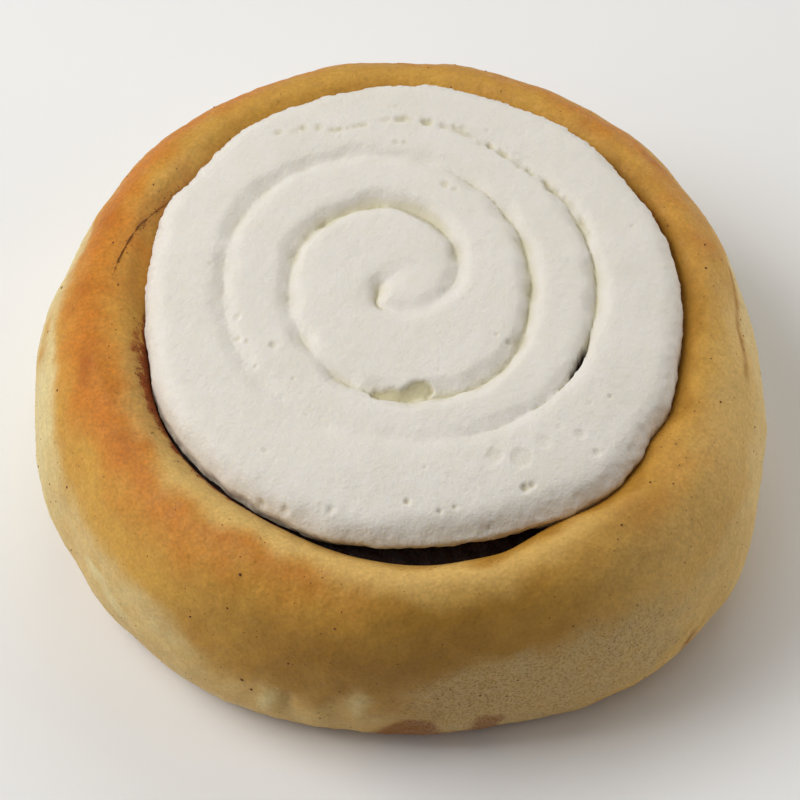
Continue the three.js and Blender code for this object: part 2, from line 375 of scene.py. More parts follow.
@dataclass
class GeometryTree:
    """A Geometry Nodes tree with named inputs, ending in Realize Instances and Set Material."""

    name: str
    inputs: dict[str, str]
    tree: NodeTree = field(init=False)
    given: Node = field(init=False)

    def __post_init__(self) -> None:
        """Makes the tree's interface."""
        self.tree = bpy.data.node_groups.new(self.name, "GeometryNodeTree")
        for name, kind in {"Geometry": "Geometry", **self.inputs, "Finish": "Material"}.items():
            self.tree.interface.new_socket(name, in_out="INPUT", socket_type="NodeSocket" + kind)
        self.tree.interface.new_socket("Geometry", in_out="OUTPUT", socket_type="NodeSocketGeometry")
        self.given = add(self.tree, "NodeGroupInput")

    def __getitem__(self, name: str) -> NodeSocket:
        """The tree's own input of that name."""
        return self.given.outputs[name]

    def nearest_form(self, geometry: Any, place: Any, name: str) -> tuple[Node, Any]:
        """What the point of a geometry nearest to a place stores under a name.

        Args:
            geometry: The geometry that is looked through.
            place: The place.
            name: The attribute's name.

        Returns:
            The point's index, and its three stored numbers as sockets.
        """
        index = add(self.tree, "GeometryNodeSampleNearest", {"Geometry": geometry, "Sample Position": place})
        stored = add(self.tree, STORED, {"Name": name}, data_type="FLOAT_VECTOR")
        picked = {"Geometry": geometry, "Value": stored, "Index": index}
        form = add(self.tree, PICK, picked, data_type="FLOAT_VECTOR")
        return index, add(self.tree, SPLIT, {0: form}).outputs

    def press(self, mark: Node, offset: Node) -> None:
        """Ends a tree that moves its surface and stores a mark of how far."""
        marked = add(self.tree, STORE, {"Geometry": self["Geometry"], "Name": self["Mark"], "Value": mark})
        self.finish(add(self.tree, "GeometryNodeSetPosition", {"Geometry": marked, "Offset": offset}))

    def finish(self, geometry: Node) -> None:
        """Realizes a geometry, gives it the finish and ends the tree with it.

        Args:
            geometry: The node that gives the geometry.
        """
        real = add(self.tree, "GeometryNodeRealizeInstances", {"Geometry": geometry})
        dressed = add(self.tree, "GeometryNodeSetMaterial", {"Geometry": real, "Material": self["Finish"]})
        add(self.tree, "NodeGroupOutput", {"Geometry": dressed})

    def put_on(self, made: Object, finish: Material, **values: Any) -> None:
        """Adds the tree to an object as a modifier, with a value for each named input.

        Args:
            made: The object.
            finish: The material that the tree sets.
            **values: The inputs' values.
        """
        modifier = made.modifiers.new(self.name, "NODES")
        modifier.node_group = self.tree
        wanted = {"Finish": finish, **values}
        for item in self.tree.interface.items_tree:
            if item.in_out == "INPUT" and item.name in wanted:
                modifier[item.identifier] = wanted[item.name]


# ---- the bun's form, by the same named sizes as its solids ----


@dataclass(frozen=True)
class Lobe:
    """A wave round an outline: its crests, its size and the heading of one crest."""

    crests: int
    size: float
    heading: float


def lobed(radius: float, lobes: Sequence[Lobe], heading: Array) -> Array:
    """Radius of a lobed round outline at a heading."""
    waves = [lobe.size * np.cos(np.radians(lobe.crests * (heading - lobe.heading))) for lobe in lobes]
    return radius + sum(waves)


@dataclass(frozen=True)
class Bulge:
    """Where an outline stands out or in: its heading, how far, and its width in degrees."""

    heading: float
    size: float
    width: float


def bulged(bulges: Sequence[Bulge], heading: Array) -> Array:
    """How far an outline stands out at a heading."""
    return sum(b.size * hump(heading_between(heading, b.heading), b.width) for b in bulges)


@dataclass(frozen=True)
class BunForm:
    """The bun's plan and heights, in millimetres."""

    bun_radius: float = 52.5
    rim_height: float = 34.7
    widest_height: float = 13.5
    shoulder_width: float = 12.0
    shoulder_fullness: float = 2.1
    base_inset: float = 8.0
    base_fullness: float = 2.2
    bun_lobes: tuple[Lobe, ...] = (
        Lobe(2, 0.64, 118), Lobe(3, 0.87, 82), Lobe(4, 0.55, 46), Lobe(5, 0.35, 41),
    )
    frosting_radius: float = 38.2
    frosting_lobes: tuple[Lobe, ...] = (Lobe(1, 1.3, 33), Lobe(2, 0.93, 99), Lobe(3, 0.43, 101))
    bun_bulges: tuple[Bulge, ...] = (
        Bulge(32, -0.55, 8), Bulge(56, -0.95, 9), Bulge(79, 0.3, 6), Bulge(93, -0.45, 9),
        Bulge(115, -0.7, 10), Bulge(164, -0.85, 9), Bulge(183, -0.4, 9), Bulge(207, -0.95, 8),
        Bulge(255, -0.25, 12), Bulge(281, -0.7, 14), Bulge(319, -0.3, 9), Bulge(341, -1.0, 8),
        Bulge(357, -0.35, 8),
    )
    frosting_bulges: tuple[Bulge, ...] = (
        Bulge(186, -0.85, 15), Bulge(153, 0.95, 6), Bulge(148, 0.4, 2.5), Bulge(125, 0.6, 9),
        Bulge(83, 0.6, 10), Bulge(51, 1.0, 14), Bulge(23, 0.5, 9), Bulge(352, -0.5, 9), Bulge(335, 0.3, 3),
        Bulge(327, -0.35, 3), Bulge(313, 1.35, 13), Bulge(257, 0.45, 10), Bulge(230, -0.6, 20),
    )
    # The frosting sits against the dough, but for a crack at the left and the open gap at the front
    well_gap: float = -0.25
    well_gaps: tuple[Bulge, ...] = (
        Bulge(276.5, 2.0, 17.5), Bulge(289.5, 0.6, 5), Bulge(303, -0.5, 5), Bulge(322, -0.5, 18),
        Bulge(212, 0.42, 20), Bulge(230, 0.55, 20),
    )
    well_floor_height: float = 29.4
    well_wall_insets: Span = (0.5, 1.1)
    lip_drop: float = 3.0
    lip_width: float = 4.0
    lip_round: float = 0.4
    # The front of the rim is fuller, and its inner slope wider, than the rest
    front_heading: float = 272.0
    front_width: float = 52.0
    front_fullness: float = 0.5
    front_lip_width: float = 1.5
    front_lip_drop: float = 0.4

    def bun_edge(self, heading: Array) -> Array:
        """Radius of the bun at its widest."""
        return lobed(self.bun_radius, self.bun_lobes, heading) + bulged(self.bun_bulges, heading)

    def frosting_edge(self, heading: Array) -> Array:
        """Radius of the frosting at its widest."""
        radius = lobed(self.frosting_radius, self.frosting_lobes, heading)
        return radius + bulged(self.frosting_bulges, heading)

    def well_edge(self, heading: Array) -> Array:
        """Radius of the edge of the hollow that holds the frosting."""
        return self.frosting_edge(heading) + self.well_gap + bulged(self.well_gaps, heading)

    def dough_top(self, radius: Array, heading: Array) -> Array:
        """Height of the top of the dough, with the lip of the hollow rounded over.

        Args:
            radius: Distances from the bun's middle.
            heading: Headings of the same places.

        Returns:
            The heights.
        """
        front = hump(heading_between(heading, self.front_heading), self.front_width)
        fullness = self.shoulder_fullness + self.front_fullness * front
        start = self.bun_edge(heading) - self.shoulder_width
        across = np.clip((radius - start) / self.shoulder_width, 0, 1)
        up = (1 - across**fullness) ** (1 / fullness)
        from_edge = radius - self.well_edge(heading)
        from_lip = np.clip(from_edge / (self.lip_width + self.front_lip_width * front), 0, 1)
        turned = np.clip(1 - from_edge / self.lip_round, 0, 1)
        rounding = self.lip_round * (1 - np.sqrt(1 - turned**2))
        top = self.widest_height + (self.rim_height - self.widest_height) * up
        return top - (self.lip_drop + self.front_lip_drop * front) * (1 - from_lip) ** 2 - rounding


def section_rows(rows: Sequence[tuple[Array, Array]], along: Array) -> Array:
    """Insets and heights of a section's corners, each given for every place along the coil."""
    return np.stack([np.stack(np.broadcast_arrays(a, b, along)[:2], -1) for a, b in rows], 1)


@dataclass(frozen=True)
class Seam:
    """Where one turn of dough meets the next. Its path is counted in degrees along the coil."""

    form: BunForm
    start: float = -530.0
    shows: float = 182.0
    leaves_well: float = 491.0
    end: float = 532.0
    coil_pitch: float = 12.0
    coil_step_length: float = 90.0
    tail_offset: float = 4.4
    tail_fade: Span = (15.0, 25.0)
    closing_length: float = 16.0
    closing_share: float = 0.6
    slot_width: float = 1.8
    tail_width: float = 0.06
    gutter_width: float = 3.4
    gutter_heading: float = 272.0
    gutter_spread: float = 35.0
    gutter_floor: float = 24.0
    gutter_slope: float = 3.0
    overrun: float = 6.0
    filling_gap: float = 0.3
    tail_gap: float = 0.02
    tail_sunk: float = 0.08
    filling_bottom: float = 0.5
    filling_sunk: float = 1.1
    rise_length: float = 1.0
    gutter_outer_height: float = 26.5
    gutter_inner_height: float = 29.0
    tail_lead: float = 12.0
    tail_places: int = 60

    def radius(self, along: Array) -> Array:
        """Radius of the seam at its outer side.

        Args:
            along: Places in degrees along the coil.

        Returns:
            The radii.
        """
        settled = self.form.well_edge(along) - self.in_tail(along) * bulged(self.form.frosting_bulges, along)
        turns_in = np.maximum(0, np.ceil((self.shows - along) / FULL_TURN))
        step_start = self.shows - FULL_TURN * (turns_in - 1)
        step = np.where(turns_in == 0, 0, smoothstep(step_start - along, 0, self.coil_step_length))
        inward = self.coil_pitch * (np.maximum(0, turns_in - 1) + step)
        tail = self.tail_offset * smoothstep(along, self.leaves_well, self.end)
        return settled + tail - inward

    def in_tail(self, along: Array) -> Array:
        """0 where the seam lies in the hollow, and 1 where it runs out over the rim."""
        return smoothstep(along, self.leaves_well - self.tail_fade[0], self.leaves_well + self.tail_fade[1])

    def width(self, along: Array) -> Array:
        """Width of the slot that the filling lies in."""
        closing = 1 - self.closing_share * smoothstep(along, self.end - self.closing_length, self.end)
        return lerp(self.slot_width, self.tail_width * closing, self.in_tail(along))

    def gutter_share(self, along: Array) -> Array:
        """How much of the front gutter there is, from 0 to 1."""
        return hump(along - self.gutter_heading, self.gutter_spread)

    def filling_top(self, along: Array) -> Array:
        """Height of the filling's top away from the gutter.

        Args:
            along: Places in degrees along the coil.

        Returns:
            The heights.
        """
        radius = self.radius(along)
        hidden = self.form.well_floor_height - self.filling_sunk
        shown = self.form.dough_top(radius - self.width(along), along) - self.filling_sunk
        shown = lerp(shown, self.form.dough_top(radius, along) - self.tail_sunk, self.in_tail(along))
        rise = smoothstep(radius - self.form.well_edge(along), -self.rise_length, 0)
        return lerp(hidden, shown, rise)

    def slot_section(self, along: Array) -> Array:
        """The section of the slot that parts the turns of dough.

        Args:
            along: Places in degrees along the coil.

        Returns:
            For each place, a row of inset and height for each corner.
        """
        width = self.width(along)
        gutter = width + self.gutter_width * self.gutter_share(along)
        above = self.form.rim_height + self.overrun
        rows = [
            (0, -self.overrun),
            (width, -self.overrun),
            (width, self.gutter_floor),
            (gutter, self.gutter_floor + self.gutter_slope),
            (gutter, above),
            (0, above),
        ]
        return section_rows(rows, along)

    def filling_section(self, along: Array, top_points: int) -> Array:
        """The section of the filling.

        Args:
            along: Places in degrees along the coil.
            top_points: How many points there are across its top.

        Returns:
            For each place, a row of inset and height for each point.
        """
        share = self.gutter_share(along)
        gap = lerp(self.filling_gap, self.tail_gap * self.width(along) / self.tail_width, self.in_tail(along))
        width = self.width(along) - gap
        gutter = width + self.gutter_width * share
        top = self.filling_top(along)
        inner = lerp(top, self.gutter_inner_height, share)
        outer = lerp(top, self.gutter_outer_height, share)
        rows = [
            (gap, self.filling_bottom),
            (width, self.filling_bottom),
            (width, self.gutter_floor + self.filling_gap),
            (gutter, self.gutter_floor + self.gutter_slope + self.filling_gap),
        ]
        for across in np.linspace(0, 1, top_points):
            rows.append((lerp(gutter, gap, across), lerp(inner, outer, across)))
        return section_rows(rows, along)

    def swept(self, section: Callable[[Array], Array], step: float, end_gap: float) -> tuple[Array, Faces]:
        """Points and faces of a solid swept along the coil.

        Args:
            section: Gives insets and heights round the section for places along the coil.
            step: Degrees from one section to the next.
            end_gap: How far each end is drawn back, in millimetres.

        Returns:
            The points, and each face's corners.
        """
        along = np.linspace(self.start, self.end, int((self.end - self.start) / step) + 1)
        drawn_back = np.degrees(end_gap / self.radius(along[[0, -1]]))
        along = np.clip(along, self.start + drawn_back[0], self.end - drawn_back[1])
        rows = section(along)
        radius = self.radius(along)[:, None] - rows[:, :, 0]
        points = plan_points(radius, along[:, None], rows[:, :, 1])
        middles = points[[0, -1]].mean(1)
        return np.concatenate([points.reshape(-1, 3), middles]), closed_faces(*rows.shape[:2])

    def tail_distance(self, points: Array) -> Array:
        """Distance in plan from places to the seam's tail, at the middle of its slot.

        Args:
            points: The places.

        Returns:
            The distances.
        """
        along = np.linspace(self.leaves_well - self.tail_lead, self.end, self.tail_places)
        path = plan_points(self.radius(along) - self.width(along) / 2, along, 0.0)[:, :2]
        gaps = np.linalg.norm(points[:, None, :2] - path[None], axis=2)
        return gaps.min(1)


@dataclass(frozen=True)
class Surface:
    """Where each of a mesh's vertices lies on the bun."""

    points: Array
    heading: Array
    radius: Array
    inset: Array
    beyond_lip: Array
    height: Array

    @classmethod
    def of(cls, form: BunForm, points: Array) -> Surface:
        """Reads the places of points given in millimetres.

        Args:
            form: The bun's form.
            points: Points in millimetres, one row each.

        Returns:
            Where they lie.
        """
        heading = headings_of(points) % FULL_TURN
        radius = np.hypot(points[:, 0], points[:, 1])
        inset = form.bun_edge(heading) - radius
        return cls(points, heading, radius, inset, radius - form.well_edge(heading), points[:, 2])


@dataclass(frozen=True)
class Patch:
    """A soft patch on the dough: its middle, its reach along the rim and across it, its strength."""

    heading: float
    inset: float
    height: float
    along: float
    across: float
    strength: float = 1.0

    def share(self, surface: Surface) -> Array:
        """How much of the patch there is.

        Args:
            surface: The places.

        Returns:
            Its share at each place, from 0 to its strength.
        """
        turn = np.radians(heading_between(surface.heading, self.heading)) * surface.radius
        drop = np.hypot(surface.inset - self.inset, surface.height - self.height)
        return self.strength * np.exp(-((turn / self.along) ** 2) - (drop / self.across) ** 2)


def heights_at(line: Line, heading: Array) -> Array:
    """Height at each heading of a line drawn round the bun, or another value that follows it."""
    headings, heights = zip(*line)
    return np.interp(heading, headings, heights, period=FULL_TURN)


def patched(surface: Surface, patches: Sequence[Patch]) -> Array:
    """Several patches laid over one another.

    Args:
        surface: The places.
        patches: The patches.

    Returns:
        How much of them there is at each place, from 0 to 1.
    """
    clear = np.ones(len(surface.height))
    for patch in patches:
        clear *= 1 - np.clip(patch.share(surface), 0, 1)
    return 1 - clear


@dataclass(frozen=True)
class Crease:
    """A line pressed into or raised from the dough, through places of heading, inset and height."""

    places: tuple[Triple, ...]
    width: float
    depth: float

    def share(self, surface: Surface, form: BunForm) -> Array:
        """How much of the crease there is.

        Args:
            surface: The places.
            form: The bun's form.

        Returns:
            Its share at each place, from 0 to 1.
        """
        marks = np.array(self.places)
        corners = plan_points(form.bun_edge(marks[:, 0]) - marks[:, 1], marks[:, 0], marks[:, 2])
        nearest = np.full(len(surface.height), np.inf)
        for start, end in zip(corners, corners[1:]):
            run = end - start
            share = np.clip((surface.points - start) @ run / (run @ run), 0, 1)
            gap = np.linalg.norm(surface.points - start - share[:, None] * run, axis=1)
            nearest = np.minimum(nearest, gap)
        return hump(nearest, self.width)


# ---- finishes ----


@dataclass(frozen=True)
class Mottle:
    """Noise whose features have one real size, stretched from its middle to a range."""

    size_mm: float
    low: float
    high: float
    detail: float = 3.0
    middle: Span = (0.3, 0.7)

    def laid(self, tree: NodeTree, place: NodeSocket) -> Node:
        """Adds the pattern to a material."""
        noise = add(tree, NOISE, {"Vector": place, "Scale": 1 / (self.size_mm * MM), "Detail": self.detail})
        return add(tree, RANGE, {0: noise, 1: self.middle[0], 2: self.middle[1], 3: self.low, 4: self.high})


@dataclass(frozen=True)
class Relief:
    """Fine relief that the shader draws: the size of its features, its strength and its depth."""

    size_mm: float
    strength: float
    depth_mm: float

    def laid(self, tree: NodeTree, place: NodeSocket, **under: Any) -> Node:
        """Adds the relief to a material.

        Args:
            tree: The material's tree.
            place: The place that the relief follows.
            **under: A coarser relief under it, given as Normal.

        Returns:
            The node that bends the normal.
        """
        noise = add(tree, NOISE, {"Vector": place, "Scale": 1 / (self.size_mm * MM), "Detail": 3.0})
        form = {"Strength": self.strength, "Distance": self.depth_mm * MM, "Height": noise, **under}
        return add(tree, BUMP, form)


def new_finish(name: str, mottle: Mottle, *tones: str) -> tuple[Material, Node, NodeSocket, Node]:
    """Makes a material and a colour that is mottled from one tone to another.

    Args:
        name: The material's name.
        mottle: The pattern that the two tones follow.
        *tones: The two tones.

    Returns:
        The material, its shader, the place on the object that its patterns follow, and the colour.
    """
    material = bpy.data.materials.new(name)
    material.use_nodes = True
    tree = material.node_tree
    place = add(tree, "ShaderNodeTexCoord").outputs["Object"]
    first, second = (linear(tone) for tone in tones)
    colour = add(tree, MIX, {0: mottle.laid(tree, place), 6: first, 7: second}, data_type="RGBA")
    return material, tree.nodes["Principled BSDF"], place, colour


def toned(tree: NodeTree, colour: Node, where: str, tone: str) -> Node:
    """A colour with a tone laid over it where an attribute says so."""
    share = add(tree, ATTRIBUTE, attribute_name=where).outputs["Fac"]
    return add(tree, MIX, {0: share, 6: colour, 7: linear(tone)}, data_type="RGBA")


@dataclass(frozen=True)
class Layer:
    """A colour laid over the crust where an attribute says so, its edges broken up by noise."""

    attribute: str
    colour: str
    grain_mm: float
    break_up: float

    def laid(self, tree: NodeTree, place: Any, colour: Node) -> Node:
        """Adds the layer over a colour.

        Args:
            tree: The material's tree.
            place: The place that its edges follow.
            colour: The colour under it.

        Returns:
            The colour with the layer.
        """
        share = add(tree, ATTRIBUTE, attribute_name=self.attribute).outputs["Fac"]
        rest = add(tree, MATH, {0: 1.0, 1: share}, **MINUS)
        edge = add(tree, MATH, {0: share, 1: rest}, **TIMES)
        broken = Mottle(self.grain_mm, -self.break_up, self.break_up, 4.0).laid(tree, place)
        share = add(tree, MATH, {0: edge, 1: broken, 2: share}, operation="MULTIPLY_ADD", use_clamp=True)
        return add(tree, MIX, {0: share, 6: colour, 7: linear(self.colour)}, data_type="RGBA")


@dataclass(frozen=True)
class CrustFinish:
    """Egg-washed yeast dough baked in a tray: satin, golden on top and pale where buns touched."""

    # The wash browns on what stands up, and gives a low, broad shine. Its flecks are real ones of
    # 0.5 mm. The pores of the torn skin are 0.1 mm wide and drawn at 0.4 mm, to show at all.
    golden: str = "#cc9c44"
    tan: str = "#c49240"
    mottle: Mottle = Mottle(7.0, 0.0, 1.0, 3.0, (0.35, 0.65))
    layers: tuple[Layer, ...] = (
        Layer("khaki", "#d9b166", 4.0, 0.4),
        # Painted shade: olive-brown on the front wall, which faces away from the lights
        Layer("painted_shade", "#976b22", 4.0, 0.4),
        Layer("pale", "#dcca92", 4.0, 0.5),
        Layer("floury", "#bc9a5c", 4.0, 1.4),
        Layer("bake", "#c87822", 3.5, 0.7),
        Layer("dark_bake", "#a65a18", 2.0, 1.2),
        Layer("lip", "#dab368", 3.0, 0.3),
        # Painted shadow: darker brown where the frosting shades the lip at the right and beside the front
        # gap, and painted shade in the side crease
        Layer("shaded_lip", "#ad7c2c", 3.0, 0.6),
        Layer("tray_crust", "#8c5500", 1.6, 0.7),
    )
    fleck: Mottle = Mottle(0.5, -0.11, 0.1)
    blotch: Mottle = Mottle(1.6, -0.05, 0.05)
    baked_fleck: float = 1.6
    # Pores: a dark dot of painted shade in each, and a light ring round it that is a painted highlight
    pore: str = "#4a3a1e"
    pore_highlight: str = "#ead9b4"
    pore_reach: Span = (0.1, 0.32)
    highlight_reach: Span = (0.36, 0.6)
    pore_shade_share: float = 0.4
    highlight_share: float = 0.16
    stain: str = "#a0501e"
    stain_grain: Mottle = Mottle(0.5, 0.0, 1.0, 4.0, (0.36, 0.56))
    solid_stain: float = 0.4
    satin: Mottle = Mottle(1.5, 0.5, 0.65)
    skin: Relief = Relief(0.6, 0.6, 0.18)
    pits: Relief = Relief(0.4, 0.65, 0.2)

    def pores(self, tree: NodeTree, place: Any, colour: Node) -> tuple[Any, Any]:
        """Adds the pores of the torn skin over a colour: painted shade in each pore, and a painted highlight
        round it.

        Args:
            tree: The material's tree.
            place: The place that the pores follow.
            colour: The colour under them.

        Returns:
            The colour with pores, and how deep they are.
        """
        cells = add(tree, "ShaderNodeTexVoronoi", {"Vector": place, "Scale": 1 / (self.pits.size_mm * MM)})
        porous = add(tree, ATTRIBUTE, attribute_name="porous").outputs["Fac"]
        dot = add(tree, RANGE, {0: cells, 1: self.pore_reach[0], 2: self.pore_reach[1], 3: 1.0, 4: 0.0})
        rim = add(tree, RANGE, {0: cells, 1: self.highlight_reach[0], 2: self.highlight_reach[1], 4: self.highlight_share})
        dots = add(tree, MATH, {0: dot, 1: porous}, **TIMES)
        rims = add(tree, MATH, {0: rim, 1: porous}, **TIMES)
        dark = add(tree, MATH, {0: dots, 1: self.pore_shade_share}, **TIMES)
        for share, tone in ((rims, self.pore_highlight), (dark, self.pore)):
            colour = add(tree, MIX, {0: share, 6: colour, 7: linear(tone)}, data_type="RGBA")
        return colour, dots

    def build(self) -> Material:
        """Makes the material.

        Returns:
            The material.
        """
        finish = new_finish("baked_dough_crust", self.mottle, self.golden, self.tan)
        material, shader, place, colour = finish
        tree = material.node_tree
        for layer in self.layers:
            colour = layer.laid(tree, place, colour)
        fleck, blotch = self.fleck.laid(tree, place), self.blotch.laid(tree, place)
        fleck = add(tree, MATH, {0: fleck, 1: blotch}, operation="ADD")
        baked = add(tree, ATTRIBUTE, attribute_name="bake").outputs["Fac"]
        strength = add(tree, RANGE, {0: baked, 3: 1.0, 4: self.baked_fleck})
        fleck = add(tree, MATH, {0: fleck, 1: strength, 2: 1.0}, operation="MULTIPLY_ADD")
        shade = add(tree, "ShaderNodeCombineColor", {0: fleck, 1: fleck, 2: fleck})
        colour = add(tree, MIX, {0: 1.0, 6: colour, 7: shade}, data_type="RGBA", blend_type="MULTIPLY")
        colour, dots = self.pores(tree, place, colour)
        stained = add(tree, ATTRIBUTE, attribute_name="stain").outputs["Fac"]
        solid = add(tree, RANGE, {0: stained, 1: self.solid_stain})
        grains = self.stain_grain.laid(tree, place)
        cover = add(tree, MATH, {0: grains, 1: solid}, operation="ADD", use_clamp=True)
        stained = add(tree, MATH, {0: stained, 1: cover}, **TIMES)
        pits = {"Strength": self.pits.strength, "Distance": self.pits.depth_mm * MM, "Height": dots}
        looks = {
            "Base Color": add(tree, MIX, {0: stained, 6: colour, 7: linear(self.stain)}, data_type="RGBA"),
            "Roughness": self.satin.laid(tree, place),
            "Specular IOR Level": 0.22,
            "Subsurface Weight": 0.08,
            "Subsurface Radius": (1.0, 0.55, 0.25),
            "Subsurface Scale": 2.5 * MM,
            "Normal": add(tree, BUMP, {**pits, "Normal": self.skin.laid(tree, place)}, invert=True),
        }
        feed(tree, shader, looks)
        return material


@dataclass(frozen=True)
class FrostingFinish:
    """Whipped frosting, piped cold: dull, dense white, full of tiny bubbles, with painted shade in its folds.
    """

    # Air makes it white and lets light through its surface. Its bubbles are 0.1 mm wide and drawn
    # at 0.4 mm, to show at all.
    white: str = "#e9e3d9"
    # Painted shade: a cream tone laid in the valleys, creases, pits, bubbles and back seam, and on the low
    # side
    fold_shade: str = "#cfc6a2"
    # Painted shade at the bottom of the deep slit, standing in too for filling seen through it; also a real
    # brown smear low on the left-front side
    deep: str = "#3a2415"
    roughness: float = 0.72
    cream: Mottle = Mottle(5.0, 0.0, 0.14, 3.0, (0.35, 0.7))
    swell: Relief = Relief(1.1, 0.25, 0.2)
    bubbles: Relief = Relief(0.4, 0.7, 0.16)

    def build(self) -> Material:
        """Makes the material.

        Returns:
            The material.
        """
        finish = new_finish("whipped_frosting", self.cream, self.white, self.fold_shade)
        material, shader, place, colour = finish
        tree = material.node_tree
        colour = toned(tree, colour, "fold_shade", self.fold_shade)
        looks = {
            "Base Color": toned(tree, colour, "deep", self.deep),
            "Roughness": self.roughness,
            "Specular IOR Level": 0.25,
            "Subsurface Weight": 0.3,
            "Subsurface Radius": (1.0, 0.85, 0.6),
            "Subsurface Scale": 1.2 * MM,
            "Normal": self.bubbles.laid(tree, place, Normal=self.swell.laid(tree, place)),
        }
        feed(tree, shader, looks)
        return material


@dataclass(frozen=True)
class FillingFinish:
    """Cinnamon and sugar melted with butter: a dark, moist paste with undissolved grains."""

    # The butter leaves it dark and half shiny, and the grains of 0.5 mm show as lighter spots. The paste in
    # the slot and front gap is near black: its own dark brown with painted shade of the gap laid in
    name: str
    dark: str
    light: str
    dry: str = "#96622e"
    roughness: float = 0.55
    grain: Mottle = Mottle(0.5, 0.0, 1.0, 3.0, (0.4, 0.68))
    lumps: Relief = Relief(0.5, 0.6, 0.3)

    def build(self) -> Material:
        """Makes the material.

        Returns:
            The material.
        """
        material, shader, place, colour = new_finish(self.name, self.grain, self.dark, self.light)
        tree = material.node_tree
        looks = {
            "Base Color": toned(tree, colour, "dry", self.dry),
            "Roughness": self.roughness,
            "Specular IOR Level": 0.3,
            "Normal": self.lumps.laid(tree, place),
        }
        feed(tree, shader, looks)
        return material


# ---- dough ----


